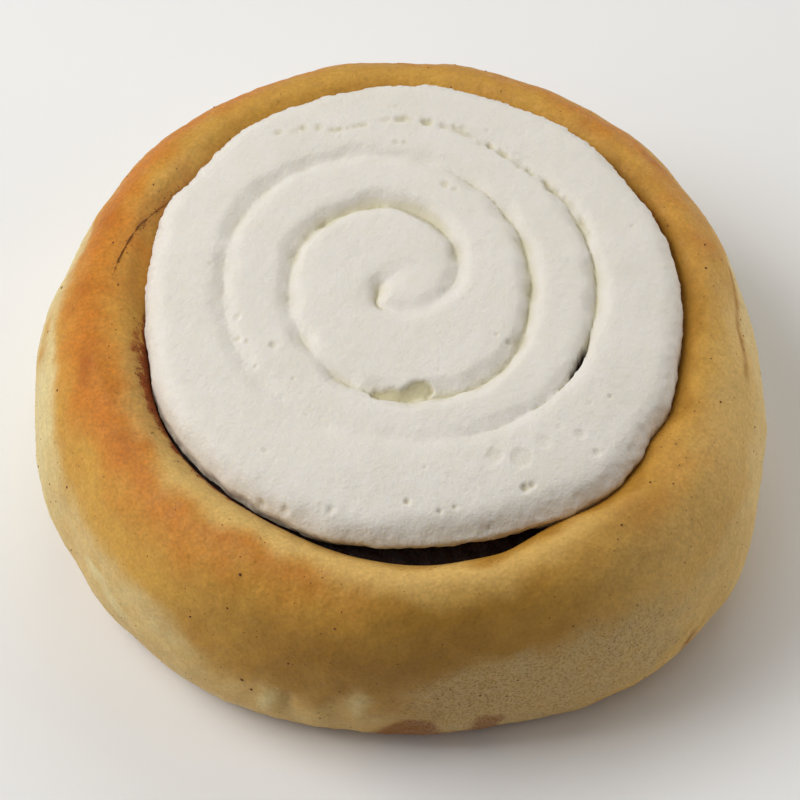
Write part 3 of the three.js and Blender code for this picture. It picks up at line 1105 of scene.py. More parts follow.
@dataclass
class DoughCoil:
    """The baked dough: one strip wound into a coil, open at its seam."""

    form: BunForm
    seam: Seam
    sides: int = 620
    base_rings: int = 24
    shoulder_rings: int = 56
    rim_rings: int = 26
    wall_rings: int = 6
    shoulder_end: float = 58.0
    # Heading and height of the top of the pale, unbrowned side
    pale_line: Line = (
        (0, 29), (15, 29), (30, 20), (45, 14), (60, 12), (75, 12), (90, 14), (105, 12), (120, 14),
        (135, 18), (150, 26.5), (160, 30.4), (178, 30.5), (190, 30.2), (197, 28.6), (206, 25.0),
        (218, 23.5), (228, 24.5), (234, 22), (240, 17), (247, 15), (255, 14.5), (262, 15), (270, 12),
        (285, 11), (300, 15), (312, 22), (330, 26), (345, 28),
    )
    # Heading and strength of that paleness, then heading and the depth of its soft upper edge
    pale_strength: Line = (
        (4, 0.4), (16, 0.75), (150, 0.85), (178, 0.85), (196, 0.85), (204, 0.45), (234, 0.5), (243, 0.35),
        (264, 0.3), (272, 0.1), (288, 0.08), (300, 0.14), (316, 0.14), (336, 0.25), (350, 0.3),
    )
    pale_edge: Line = (
        (0, 2.2), (15, 2.0), (60, 3.0), (130, 3.0), (150, 1.6), (192, 1.8), (204, 4.0), (236, 4.5),
        (262, 3.0), (350, 3.0),
    )
    # Heading and the reach of the yellow lip beside the frosting
    lip_line: Line = (
        (180, 2.4), (190, 2.6), (201, 2.8), (211, 2.8), (224, 3.4), (245, 3.8), (258, 4.0), (270, 5.0),
        (290, 5.2), (303, 4.6), (312, 3.6),
    )
    # Heading and height of the upper and lower edges of the porous, floury skin where another bun touched
    floury_top: Line = (
        (260, 12), (266, 17), (270, 20.5), (275, 22.5), (280, 24), (287, 24.5), (295, 25.5), (306, 26),
        (318, 24.2), (330, 22),
    )
    floury_foot: Line = (
        (260, 8), (266, 6), (274, 4.5), (285, 3.5), (296, 4.5), (306, 8), (318, 13), (330, 19),
    )
    baked: tuple[Patch, ...] = (
        Patch(150, 6.4, 32.4, 12, 3.4, 0.6), Patch(162, 7.0, 32.6, 9, 3.4, 0.8),
        Patch(175, 8.3, 33.8, 9, 3.8, 0.8), Patch(189, 9.0, 34.1, 9, 4.2, 0.85),
        Patch(200, 8.8, 34.0, 8, 4.6, 0.8), Patch(210, 9.0, 34.0, 8, 4.4, 0.85),
        Patch(225, 7.8, 33.5, 11, 4.6, 0.6), Patch(238, 7.8, 33.4, 9, 4.0, 0.45),
        Patch(252, 6.2, 32.2, 9, 3.5, 0.35), Patch(122, 5.5, 31.5, 16, 2.6, 0.75),
        Patch(143, 5.8, 31.9, 12, 2.8, 0.85), Patch(150, 12.4, 33.0, 9, 2.4, 0.5),
        Patch(164, 11.8, 33.2, 7, 2.4, 0.45), Patch(98, 5.6, 31.6, 14, 2.2, 0.35),
        Patch(70, 6.0, 32.0, 10, 2.4, 0.4), Patch(55, 6.6, 32.6, 10, 2.8, 0.6),
        Patch(40, 6.6, 32.6, 9, 2.8, 0.6), Patch(22, 7.4, 33.2, 9, 3.2, 0.35),
        Patch(322, 8.4, 33.8, 10, 3.0, 0.3),
    )
    dark_baked: tuple[Patch, ...] = (
        Patch(192, 9.0, 34.1, 3.0, 2.0, 0.75), Patch(210, 9.2, 34.1, 3.0, 1.5, 0.45),
        Patch(175, 7.4, 33.2, 3.0, 2.2, 0.45), Patch(157, 6.4, 32.4, 4.0, 1.8, 0.45),
        Patch(38, 6.4, 32.4, 2.6, 1.2, 0.6), Patch(52, 9.2, 34.1, 1.6, 1.0, 0.5),
        Patch(27, 11.8, 33.0, 5.0, 1.0, 0.4), Patch(20, 11.2, 33.0, 4.0, 0.9, 0.35),
        Patch(90, 12.0, 33.0, 7.0, 0.7, 0.5), Patch(145, 13.2, 32.6, 6.0, 1.2, 0.6),
    )
    tray_browned: tuple[Patch, ...] = (
        Patch(271.4, 0.8, 7.2, 4.0, 3.6, 1.0), Patch(271.2, 2.6, 3.2, 4.8, 4.2, 0.9),
        Patch(283.3, 0.5, 8.2, 2.7, 3.1, 1.0), Patch(283.0, 2.6, 3.6, 3.6, 4.6, 0.8),
        Patch(317, 0.6, 8.6, 3.0, 2.4, 0.45), Patch(317, 2.6, 3.8, 4.2, 4.6, 0.45),
    )
    # Where shade is painted: the front wall and the rim at the front right
    painted_shade_patches: tuple[Patch, ...] = (
        Patch(261, 2.6, 23.5, 17, 6.2, 0.9), Patch(266, 1.0, 18.0, 20, 6.0, 0.4),
        Patch(276, 0.4, 14.0, 9, 8.0, 0.6), Patch(309, 9.0, 34.0, 8, 4.0, 0.45),
        Patch(252.6, 0.2, 11.5, 1.0, 4.5, 0.7), Patch(280, 3.0, 26.0, 15, 4.4, 0.75),
        Patch(284, 4.8, 30.0, 14, 2.6, 0.6), Patch(252, 1.0, 18.0, 8, 3.5, 0.5),
    )
    pale_spots: tuple[Patch, ...] = (
        Patch(217.5, 0.3, 17.0, 4.5, 2.4, 0.95), Patch(222, 0.3, 14.0, 5.0, 2.6, 0.8),
        Patch(230, 0.5, 10.0, 6.0, 2.6, 0.5), Patch(249.4, 0.3, 11.5, 1.4, 4.2, 0.8),
        Patch(256.6, 0.3, 11.5, 2.0, 3.8, 0.3), Patch(263.4, 0.2, 13.5, 1.3, 3.4, 0.7),
    )
    # Greener places in the pale side, where a neighbouring bun tore away
    olive: tuple[Patch, ...] = (Patch(181, 1.8, 25.3, 2.6, 2.6, 1.0), Patch(177, 2.6, 27.0, 2.0, 2.0, 0.9))
    # How far out from the frosting the dough is stained by filling, in millimetres
    stain_reach: tuple[Bulge, ...] = (
        Bulge(187, 1.4, 6), Bulge(198, 1.5, 10), Bulge(213, 0.6, 9), Bulge(231, 0.8, 18),
        Bulge(160, 0.35, 7), Bulge(147, 0.5, 6), Bulge(25, 0.95, 14),
    )
    wrinkles: tuple[Crease, ...] = (
        Crease(
            ((183, 8.2, 33.6), (187, 9.2, 34.1), (190, 9.9, 34.3), (196, 10.5, 34.4), (202, 10.2, 34.4)),
            0.45,
            -0.2,
        ),
        Crease(((187, 9.8, 34.3), (190, 9.9, 34.3), (192, 8.6, 33.9), (196, 8.0, 33.6)), 0.4, -0.16),
        Crease(((180, 10.0, 34.3), (184, 9.8, 34.3), (188, 10.6, 34.5)), 0.4, -0.12),
        Crease(((253, 0.2, 14.5), (252.5, 0.3, 10.0), (252, 1.2, 6.0)), 1.2, 0.5),
        Crease(((249.5, 0.2, 13.0), (249.2, 0.3, 9.0)), 1.0, -0.25),
        Crease(((257, 0.2, 14.0), (257, 0.3, 10.0), (256.5, 1.2, 6.0)), 1.3, -0.25),
        Crease(((260, 0.3, 15.0), (260.5, 0.2, 10.0), (260.5, 1.4, 6.0)), 1.2, 0.3),
        Crease(((263.5, 0.3, 16.0), (263.5, 0.2, 11.0)), 0.8, -0.2),
        Crease(((209, 0.6, 20.0), (213, 0.5, 20.5), (218, 0.5, 19.5)), 0.8, 0.35),
        Crease(((224, 0.5, 11.5), (229, 0.7, 9.0), (234, 1.0, 8.2), (238, 1.2, 8.0)), 0.7, 0.5),
        Crease(((310, 0.1, 13.0), (314, 0.1, 13.4), (318, 0.1, 12.9)), 0.7, -0.5),
        Crease(((309, 0.3, 11.5), (313, 0.4, 11.5), (319, 0.4, 11.0)), 0.8, 0.6),
    )
    # Where the pale side meets the browned top at the right: a pressed groove painted darker than either,
    # with painted shade in the groove from the shaded-lip tone and a little darker bake
    side_crease: Crease = Crease(
        (
            (14, 3.6, 28.6), (10, 3.7, 29.0), (6, 3.5, 29.0), (1, 4.0, 29.5), (357, 4.1, 29.7),
            (350, 4.4, 30.0),
        ),
        0.65,
        0.14,
    )
    dents: tuple[Patch, ...] = (
        Patch(208, 0.4, 16.0, 7, 7, 0.3), Patch(8, 2.2, 26.0, 8, 5, 0.5), Patch(224, 0.6, 7.5, 6, 4, 0.5),
    )
    # Height, wavelength and seed of the waves in the risen skin
    risen: Waves = ((0.17, 22, 11), (0.05, 8, 12), (0.028, 2.6, 13), (0.016, 1.2, 14))
    smear_waves: Waves = ((0.25, 2.5, 27), (0.2, 0.9, 28))
    groove_depth: float = 0.14
    groove_heights: Span = (28.0, 31.0)
    grains_spread: float = 0.55
    grains_heights: Span = (29.0, 31.0)
    # The stain's edge as shares of its reach, the reach that it fades in over, and its heights
    stain_edge: Span = (0.45, 1.15)
    stain_fade: Span = (0.1, 0.3)
    stain_heights: Span = (29.5, 30.5)
    sharp_angle: float = 50.0
    slot_step: float = 1.5
    # How far each look's edge wanders: size, wavelength and seeds
    edge_wander: tuple[tuple[float, float, tuple[int, ...]], ...] = (
        (0.45, 7, (21, 22, 23)), (0.1, 2.2, (24, 25, 26)),
    )
    # Reaches beyond the lip that the looks begin or end over
    khaki_reach: Span = (3.0, 8.0)
    right_shade: Span = (1.6, 3.6)
    gap_shade: Span = (0.7, 2.6)
    lip_fade: Span = (-0.5, 2.8)
    tray_edge: Span = (0.3, 0.6)
    foot_heights: Span = (0.3, 2.5)
    # Strengths of the looks that a rule gives
    wrinkle_bake: float = 0.6
    crease_bake: float = 0.25
    floury_strength: float = 0.8
    foot_browning: float = 0.9
    groove_stain: float = 0.35
    groove_spread: float = 0.9
    stained_groove: float = 0.3
    # Where each look begins and ends round the bun: from, to and change. The gap in the khaki is its
    # share, heading and spread.
    tail_fades: Steps = ((160, 170, -0.7),)
    floury_ends: Steps = ((262, 280, 1.0), (305, 323, -1.0))
    lip_strength: Steps = (
        (184, 200, 0.6), (204, 222, 0.4), (240, 262, -0.2), (270, 292, -0.2), (300, 318, -0.6),
    )
    # Painted light: a lighter lip tone on the back-left slope beside the frosting, which the lights leave
    # darker
    painted_light_back_lip: tuple[Bulge, ...] = (Bulge(145, 0.35, 13),)
    shaded_right: Steps = ((40, 49, -1.0), (277, 286, 1.0))
    shaded_gap: Steps = ((240, 256, 0.55), (277, 286, -0.55))
    khaki_ends: Steps = ((2, 14, -1.0), (290, 320, 1.0))
    khaki_gap: Triple = (0.5, 322, 13)

    def heading_grid(self) -> Array:
        """Headings of the points in each ring."""
        return np.arange(self.sides) * FULL_TURN / self.sides

    def quarter(self, angle: Array, fullness: float) -> tuple[Array, Array]:
        """A quarter of a superellipse: how far across and how far up it is at an angle."""
        turn = np.radians(angle)
        return np.clip(np.cos(turn), 0, 1) ** (2 / fullness), np.sin(turn) ** (2 / fullness)

    def body_rings(self) -> Array:
        """Rings of points from the base up and into the hollow.

        Returns:
            The points of each ring.
        """
        form, heading = self.form, self.heading_grid()
        edge, well = form.bun_edge(heading), form.well_edge(heading)
        rings = []
        for angle in np.linspace(90, 0, self.base_rings, endpoint=False):
            across, up = self.quarter(angle, form.base_fullness)
            rings.append((edge - form.base_inset * (1 - across), form.widest_height * (1 - up) + 0 * heading))
        for angle in np.linspace(0, self.shoulder_end, self.shoulder_rings, endpoint=False):
            across, _ = self.quarter(angle, form.shoulder_fullness)
            radius = edge - form.shoulder_width * (1 - across)
            rings.append((radius, form.dough_top(radius, heading)))
        across, _ = self.quarter(self.shoulder_end, form.shoulder_fullness)
        outer = edge - form.shoulder_width * (1 - across)
        for share in np.linspace(0, 1, self.rim_rings) ** 0.8:
            radius = lerp(outer, well, share)
            rings.append((radius, form.dough_top(radius, heading)))
        lip = form.dough_top(well, heading)
        floor = np.full_like(heading, form.well_floor_height)
        for share in np.linspace(0, 1, self.wall_rings)[1:]:
            radius = well - form.well_wall_insets[1] * share**0.5
            rings.append((radius, lerp(lip, floor, share)))
        return np.stack([plan_points(radius, heading, height) for radius, height in rings])

    def skin(self, points: Array) -> Array:
        """How far the dough stands proud of its plain form.

        Args:
            points: The places.

        Returns:
            The distances, less than 0 where it is dented.
        """
        surface = Surface.of(self.form, points)
        swell = uneven(points, self.risen)
        for crease in (*self.wrinkles, self.side_crease):
            swell -= crease.depth * crease.share(surface, self.form)
        for dent in self.dents:
            swell -= dent.share(surface)
        swell -= self.groove_depth * self.groove(surface, self.groove_spread)
        inside = smoothstep(surface.beyond_lip, -0.3, 2.0)
        base = smoothstep(surface.height, 0.2, 3.0)
        return swell * inside * base

    def blank(self) -> Object:
        """The risen dough before it is parted into turns.

        Returns:
            Its closed mesh.
        """
        rings = self.body_rings()
        across = np.roll(rings, -1, 1) - np.roll(rings, 1, 1)
        up = np.gradient(rings, axis=0)
        normal = np.cross(across, up)
        normal /= np.linalg.norm(normal, axis=2)[:, :, None] + 1e-9
        points = rings.reshape(-1, 3)
        points = points + normal.reshape(-1, 3) * self.skin(points)[:, None]
        points[:, 2] = np.maximum(points[:, 2], 0)
        middles = [[0, 0, 0], [0, 0, self.form.well_floor_height]]
        points = np.concatenate([points, middles])
        return mesh_object("dough_blank", points, closed_faces(len(rings), self.sides))

    def groove(self, surface: Surface, spread: float) -> Array:
        """How near each place is to the seam's tail on the rim, from 0 to 1."""
        near = hump(self.seam.tail_distance(surface.points), spread)
        return near * smoothstep(surface.height, *self.groove_heights)

    def stained(self, surface: Surface) -> Array:
        """How much filling has smeared onto the lip.

        Args:
            surface: The places.

        Returns:
            Its share at each place, from 0 to 1.
        """
        reach = bulged(self.stain_reach, surface.heading) * (1 + uneven(surface.points, self.smear_waves))
        inner, outer = self.stain_edge
        share = 1 - smoothstep(surface.beyond_lip, inner * reach, outer * reach + 0.05)
        return share * smoothstep(reach, *self.stain_fade) * smoothstep(surface.height, *self.stain_heights)

    def seam_grains(self, surface: Surface) -> Array:
        """How many grains lie along the seam's tail.

        Args:
            surface: The places.

        Returns:
            Their share at each place, from 0 to 1.
        """
        broken = smoothstep(band_noise(surface.points, 1.6, 29), -0.9, 0.9)
        near = hump(self.seam.tail_distance(surface.points), self.grains_spread)
        near = near * broken * stepped(surface.heading, self.tail_fades, 1.0)
        return near * smoothstep(surface.height, *self.grains_heights)

    def pale_share(self, surface: Surface) -> Array:
        """How pale each place is, where the bun touched another in the tray.

        Args:
            surface: The places.

        Returns:
            Its paleness, from 0 to 1.
        """
        drop = heights_at(self.pale_line, surface.heading) - surface.height
        edge = drop / heights_at(self.pale_edge, surface.heading)
        side = smoothstep(edge, -0.5, 0.8) * heights_at(self.pale_strength, surface.heading)
        return np.maximum(side, patched(surface, self.pale_spots)) * (1 - patched(surface, self.olive))

    def floury_share(self, surface: Surface) -> Array:
        """How floury and porous each place is.

        Args:
            surface: The places.

        Returns:
            Its share, from 0 to 1.
        """
        below = smoothstep(heights_at(self.floury_top, surface.heading) - surface.height, -1.6, 4.0)
        above = smoothstep(surface.height - heights_at(self.floury_foot, surface.heading), -2.0, 2.0)
        return below * above * stepped(surface.heading, self.floury_ends)

    def lip_shares(self, surface: Surface, heading: Array) -> tuple[Array, Array]:
        """How yellow the lip beside the frosting is at each place, with painted light at the back left, and
        how much painted shadow of the frosting lies on it.

        Args:
            surface: The places, shifted a little so that edges aren't straight.
            heading: The places' own headings.

        Returns:
            The yellow share and the painted shadow's share.
        """
        reach, out = heights_at(self.lip_line, heading), surface.beyond_lip
        yellow = np.maximum(stepped(heading, self.lip_strength), bulged(self.painted_light_back_lip, heading))
        shaded = stepped(heading, self.shaded_right, 1.0) * (1 - smoothstep(out, *self.right_shade))
        beside_gap = stepped(heading, self.shaded_gap) * (1 - smoothstep(out, *self.gap_shade))
        begins, ends = (reach + fade for fade in self.lip_fade)
        return yellow * (1 - smoothstep(out, begins, ends)), np.maximum(shaded, beside_gap)

    def paint(self, made: Object) -> None:
        """Stores how baked, pale, floury, stained and porous each place is.

        Args:
            made: The parted dough.
        """
        points = own_points(made)
        shifted = points
        for size, wavelength, seeds in self.edge_wander:
            shifted = shifted + size * wander(points, wavelength, *seeds)
        surface, exact = Surface.of(self.form, shifted), Surface.of(self.form, points)
        fading = stepped(exact.heading, self.tail_fades, 1.0)
        missing, gap_heading, gap_spread = self.khaki_gap
        khaki = stepped(exact.heading, self.khaki_ends, 1.0)
        khaki *= 1 - missing * hump(exact.heading - gap_heading, gap_spread)
        tray_marks = smoothstep(patched(surface, self.tray_browned), *self.tray_edge)
        foot = self.foot_browning * (1 - smoothstep(exact.height, *self.foot_heights))
        crease = self.side_crease.share(exact, self.form)
        wrinkled = sum(wrinkle.share(exact, self.form) for wrinkle in self.wrinkles[:3])
        creased = self.wrinkle_bake * wrinkled + self.crease_bake * crease
        groove = self.groove_stain * fading * self.groove(exact, self.stained_groove)
        lip, shaded = self.lip_shares(surface, exact.heading)
        floured = self.floury_share(surface)
        masks = {
            "bake": patched(surface, self.baked),
            "khaki": khaki * smoothstep(surface.beyond_lip, *self.khaki_reach),
            "dark_bake": np.maximum(patched(surface, self.dark_baked), creased),
            # painted shade on the front wall
            "painted_shade": patched(surface, self.painted_shade_patches),
            "pale": self.pale_share(surface) * (1 - crease),
            "floury": self.floury_strength * floured,
            "lip": lip,
            # painted shadow of the frosting on the lip, and painted shade in the side crease
            "shaded_lip": np.maximum(shaded, crease),
            "tray_crust": np.maximum(tray_marks, foot),
            "stain": np.maximum(self.stained(exact), groove),
            "porous": floured,
        }
        for name, values in masks.items():
            set_attribute(made, name, np.clip(values, 0, 1))

    def build(self, finish: Material) -> Object:
        """Makes the dough and hands it to the frame.

        Args:
            finish: The crust's material.

        Returns:
            The piece.
        """
        blank = self.blank()
        points, faces = self.seam.swept(self.seam.slot_section, self.slot_step, 0.0)
        slot = mesh_object("seam_slot", points, faces)
        cut = blank.modifiers.new("part the turns", "BOOLEAN")
        cut.operation, cut.solver, cut.object = "DIFFERENCE", "MANIFOLD", slot
        piece = evaluated(blank, "baked_dough")
        bpy.data.objects.remove(slot)
        piece.data.set_sharp_from_angle(angle=math.radians(self.sharp_angle))
        self.paint(piece)
        piece.data.materials.clear()
        piece.data.materials.append(finish)
        hand_over(piece, Slot.CRUST, "dough_coil")
        return piece


# ---- filling ----


@dataclass
class CinnamonFilling:
    """The sheet of filling between the turns of dough."""

    seam: Seam
    step: float = 1.0
    top_points: int = 9
    lumps: Waves = ((0.16, 1.6, 31), (0.096, 0.8, 32))
    highest_lump: float = 0.25
    lump_heights: Span = (25.0, 26.5)
    # Where it shows on the rim it has dried: reach beyond the lip, and height
    dry_reach: Span = (0.3, 1.0)
    dry_heights: Span = (28.0, 30.0)

    def build(self, finish: Material) -> Object:
        """Makes the filling and hands it to the frame.

        Args:
            finish: The filling's material.

        Returns:
            The piece.
        """
        points, faces = self.seam.swept(
            lambda along: self.seam.filling_section(along, self.top_points), self.step, self.seam.filling_gap
        )
        lumps = np.minimum(uneven(points, self.lumps), self.highest_lump)
        points[:, 2] += lumps * smoothstep(points[:, 2], *self.lump_heights)
        piece = mesh_object("filling_paste", points, faces)
        surface = Surface.of(self.seam.form, points)
        dry = smoothstep(surface.beyond_lip, *self.dry_reach) * smoothstep(surface.height, *self.dry_heights)
        set_attribute(piece, "dry", dry)
        piece.data.materials.append(finish)
        hand_over(piece, Slot.FILLING, "cinnamon_filling")
        return piece


# ---- frosting ----


@dataclass(frozen=True)
class Pore:
    """A burst bubble in the frosting: its place, radius, depth and steepness."""

    x: float
    y: float
    z: float
    radius: float
    depth: float
    steepness: float = 2.6


PRESS_LENGTHS = ("Full depth", "Rounding", "Raggedness")
PRESS_SHARES = ("Rounded share", "Softness", "Flatness")


@dataclass
class PipedFrosting:
    """The white spiral: one rope of frosting piped outwards in the bun's hollow, its turns fused."""

    form: BunForm
    pole: Span = (-1.4, 0.9)
    piping_start: float = -315.0
    valley_spacing: float = 45.0
    valley_radii: tuple[float, ...] = (
        5.6, 2.9, 2.3, 2.1, 2.8, 3.1, 4.6, 7.2, 11.8, 15.7, 15.5, 14.1, 15, 17.5,
        19.4, 18.8, 21.2, 24.3, 25.3, 23.0, 23.5, 24.5, 27.2, 27.8, 29.3, 30.5,
    )
    # At the same eighths of a turn as the radii
    valley_depths: tuple[float, ...] = (
        0.1, 0.5, 1.1, 1.4, 0.9, 0.55, 0.5, 0.8, 1.2, 1.6, 1.3, 0.9, 0.9, 1.2,
        1.2, 1.2, 0.9, 0.7, 0.9, 0.75, 0.45, 0.25, 0.6, 1.1, 0.7, 0,
    )
    # The narrow crease at the bottom of the valley, at the same places
    crease_depths: tuple[float, ...] = (
        0, 0.1, 0.4, 0.8, 0.5, 0.1, 0, 0.1, 0.3, 0.5, 0.4, 0.15, 0.15, 0.5,
        0.5, 0.65, 0.4, 0.1, 0.1, 0.1, 0, 0, 0.3, 0.75, 0.2, 0,
    )
    rounding: float = 3.0
    inner_flank: float = 1.9
    outer_flank: float = 2.2
    crease_flanks: Span = (0.5, 0.7)
    slit_heading: float = 695.5
    slit_spread: float = 7.5
    slit_depth: float = 2.4
    slit_reach: float = 36.0
    top: float = 37.6
    edge_top: float = 37.2
    shoulder_inset: float = 3.4
    crown_inset: float = 10.5
    crown_drop: float = 0.5
    front_drop: float = 1.2
    front_heading: float = 293.0
    front_spread: float = 34.0
    # Inset and height down the side, where it sits against the dough and where it stands clear
    side: Line = (
        (3.4, 37.2), (2.5, 37.06), (1.4, 36.5), (0.5, 35.3), (0, 33.6), (0, 32.5), (0.05, 31.6),
        (0.15, 30.6), (3.0, 29.8),
    )
    open_side: Line = (
        (3.4, 37.2), (2.5, 37.06), (1.4, 36.5), (0.5, 35.3), (0, 33.6), (0.3, 32.3), (1.1, 31.3),
        (2.2, 30.4), (3.6, 29.8),
    )
    open_heading: float = 276.0
    open_width: float = 24.0
    rings: int = 138
    side_rows: int = 28
    # Height, wavelength and seed of the waves in the rope's crowns and in its side
    crowns: Waves = ((0.08, 12, 41), (0.014, 3.2, 42), (0.012, 1.5, 43), (0.016, 0.8, 47))
    side_waves: Waves = ((0.08, 5, 44),)
    torn_waves: Waves = ((0.055, 1.9, 45), (0.045, 0.9, 46))
    crown_stretch: Triple = (1.0, 1.0, 0.25)
    # Where the side is more torn than its least
    torn_places: tuple[Bulge, ...] = (Bulge(140, 1.3, 40), Bulge(60, 1.2, 40), Bulge(330, 0.5, 36))
    least_torn: float = 0.4
    side_inset: float = 0.08
    side_limits: Span = (-0.4, 0.16)
    # Heights that the uneven crowns begin over, and that the ragged side begins and ends over
    crown_heights: Span = (35.6, 36.8)
    side_foot: Span = (29.9, 30.6)
    side_crest: Span = (36.2, 37.1)
    valley_waves: Waves = ((0.12, 5, 53),)
    crease_waves: Waves = ((0.25, 3, 56),)
    # Waves in each flank, and the size, heading and spread of the inner one's widest place
    inner_waves: Waves = ((0.15, 6, 54),)
    outer_waves: Waves = ((0.15, 8, 55),)
    widest_flank: Triple = (1.3, 296, 24)
    # How much painted shade, a cream tint, each mark lays on the frosting, and the depths that it grows over
    mark_shade: tuple[tuple[str, float, float, float], ...] = (
        ("valley", 0.5, 0.45, 0.9), ("crease", 0.9, 0.1, 0.7), ("pit", 1.0, 0.2, 0.8),
    )
    # Heights that the low side's painted shade and its smear fade out over
    low_side: Span = (30.8, 33.2)
    back_pores: Span = (15.0, 22.0)
    # Slit depths over which its bottom is painted dark, as painted shade
    slit_painted_shade: Span = (0.45, 0.7)
    smeared_ends: Steps = ((184, 196, 1.0), (252, 266, -1.0))
    # The presses: size of their rags, steepness of a pit's wall, and heights that they fade in over
    rag_size: float = 1.3
    pit_steepness: float = 6.0
    relief_heights: Span = (34.4, 36.0)
    back_seam_broken: float = 0.9
    # Small bubbles: number for each square metre, radii, depth as a share of that, and steepness
    small_pore_density: float = 9000.0
    small_pore_sizes: Span = (0.16, 0.4)
    small_pore_depth: float = 0.55
    small_pore_steepness: float = 2.5
    full_pore_depth: float = 0.45
    pore_squash: Triple = (1.0, 1.0, 0.75)
    # A torn pit in the front of the first turn: x, y, depth and half width
    torn_pit: Marks = (
        (-3.6, -16.1, 0.45, 0.9), (-2.2, -16.1, 0.55, 1.0), (-0.4, -16.3, 0.5, 0.85),
        (1.0, -15.9, 0.6, 1.1), (2.4, -15.4, 0.65, 1.35), (3.0, -15.5, 0.6, 1.2),
    )
    # The dimpled line at the back where the last turn lies against the one before: x, y, depth, half width
    back_seam: Marks = (
        (-20.5, 28.0, 0.06, 0.6), (-14.5, 30.2, 0.17, 0.75), (-8.5, 29.8, 0.2, 0.75),
        (-1.2, 31.8, 0.19, 0.75), (5.0, 30.6, 0.22, 0.75), (10.6, 28.3, 0.24, 0.7), (16.8, 23.4, 0.32, 0.6),
        (20.4, 20.0, 0.36, 0.6), (23.9, 15.8, 0.28, 0.5), (26.0, 11.0, 0.1, 0.4),
    )
    # x, y, z, radius, depth and steepness
    pores: tuple[Pore, ...] = tuple(
        Pore(*sizes)
        for sizes in (
            (-17.3, -8.5, 37.2, 0.75, 0.35), (-22.4, -3.4, 37.1, 0.6, 0.25), (-20.9, -7.8, 37.1, 0.5, 0.3),
            (-22.2, -7.1, 37.1, 0.5, 0.3), (-18.1, -25.7, 37.0, 0.5, 0.25), (-18.7, -32.2, 34.0, 0.9, 0.4),
            (-15.3, -33.4, 34.7, 0.7, 0.3), (-9.3, -34.4, 36.0, 0.75, 0.3), (0.6, -33.4, 36.6, 0.55, 0.5),
            (4.8, -34.7, 36.2, 0.5, 0.4), (6.8, -34.1, 36.5, 0.4, 0.35), (12.1, -26.4, 37.0, 1.3, 0.22, 5),
            (15.6, -26.7, 36.9, 1.65, 0.26, 6), (18.5, -24.3, 36.9, 1.2, 0.18, 5),
            (23.4, -22.8, 36.8, 0.85, 0.25, 4), (25.5, -25.5, 36.2, 0.7, 0.25, 4),
            (20.8, -21.9, 36.9, 0.55, 0.2), (16.0, -31.1, 36.4, 0.75, 0.5), (16.9, -30.7, 36.4, 0.6, 0.4),
            (21.5, -31.4, 34.4, 0.55, 0.4), (27.6, -16.8, 36.9, 0.4, 0.35), (12.7, -6.7, 37.2, 0.4, 0.3),
            (14.4, -7.8, 37.2, 0.6, 0.35), (2.8, 31.3, 37.0, 0.7, 0.13, 2),
            (4.0, 31.2, 37.0, 0.75, 0.14, 2), (7.4, 30.5, 37.0, 0.6, 0.11, 2),
            (8.6, 30.2, 37.0, 0.65, 0.12, 2), (10.9, 27.5, 37.0, 0.7, 0.14, 2),
            (13.7, 26.2, 37.0, 0.8, 0.15, 2), (16.5, 23.4, 37.0, 0.7, 0.2, 2),
            (18.3, 22.1, 37.0, 0.6, 0.22, 2), (20.3, 19.2, 37.0, 0.9, 0.25, 2),
            (5.9, 19.6, 37.1, 0.9, 0.25, 2), (7.3, 18.7, 37.1, 0.6, 0.25, 2),
            (-8.6, 29.9, 37.0, 0.5, 0.17, 2), (-7.7, 30.0, 37.0, 0.55, 0.18, 2),
            (-1.8, 34.2, 36.9, 0.45, 0.14, 2), (-0.9, 34.1, 36.9, 0.5, 0.15, 2),
            (-0.9, 27.4, 37.0, 0.6, 0.14, 2), (0.3, 27.5, 37.0, 0.65, 0.14, 2),
            (-11.7, 30.7, 37.0, 0.8, 0.1, 2), (-15.2, 29.4, 37.0, 0.8, 0.09, 2),
            (-2.2, 1.1, 37.3, 0.5, 0.3, 2),
        )
    )

    def edge_drop(self, inset: Array, heading: Array) -> Array:
        """How far the outer turn rounds over towards its edge."""
        front = hump(heading_between(heading, self.front_heading), self.front_spread)
        return (self.crown_drop + self.front_drop * front) * np.clip(1 - inset / self.crown_inset, 0, 1) ** 2

    def ring_points(self) -> Array:
        """Points of the top, in rings that each have six more than the one before.

        Returns:
            The middle, then each ring's points.
        """
        points = [np.zeros((1, 3))]
        for ring in range(1, self.rings + 1):
            heading = np.arange(6 * ring) * FULL_TURN / (6 * ring)
            reach = self.form.frosting_edge(heading) - self.shoulder_inset
            points.append(plan_points(reach * ring / self.rings, heading, 0.0))
        points = np.concatenate(points)
        reach = self.form.frosting_radius - self.shoulder_inset
        share = np.hypot(points[:, 0] - self.pole[0], points[:, 1] - self.pole[1]) / reach
        heading = headings_of(points)
        inset = self.form.frosting_edge(heading) - np.hypot(points[:, 0], points[:, 1])
        points[:, 2] = lerp(self.top, self.edge_top, share**2) - self.edge_drop(inset, heading)
        return points

    def top_faces(self) -> Faces:
        """Triangles between the top's rings.

        Returns:
            Each triangle's corners.
        """
        faces = [(0, 1 + i, 1 + (i + 1) % 6) for i in range(6)]
        first_inner = 1
        for ring in range(2, self.rings + 1):
            inner_count, outer_count = 6 * (ring - 1), 6 * ring
            first_outer = first_inner + inner_count
            for sector in range(6):
                for step in range(ring):
                    a = first_outer + sector * ring + step
                    b = first_outer + (sector * ring + step + 1) % outer_count
                    c = first_inner + (sector * (ring - 1) + step) % inner_count
                    faces.append((c, a, b))
                    if step < ring - 1:
                        d = first_inner + (sector * (ring - 1) + step + 1) % inner_count
                        faces.append((c, b, d))
            first_inner = first_outer
        return faces

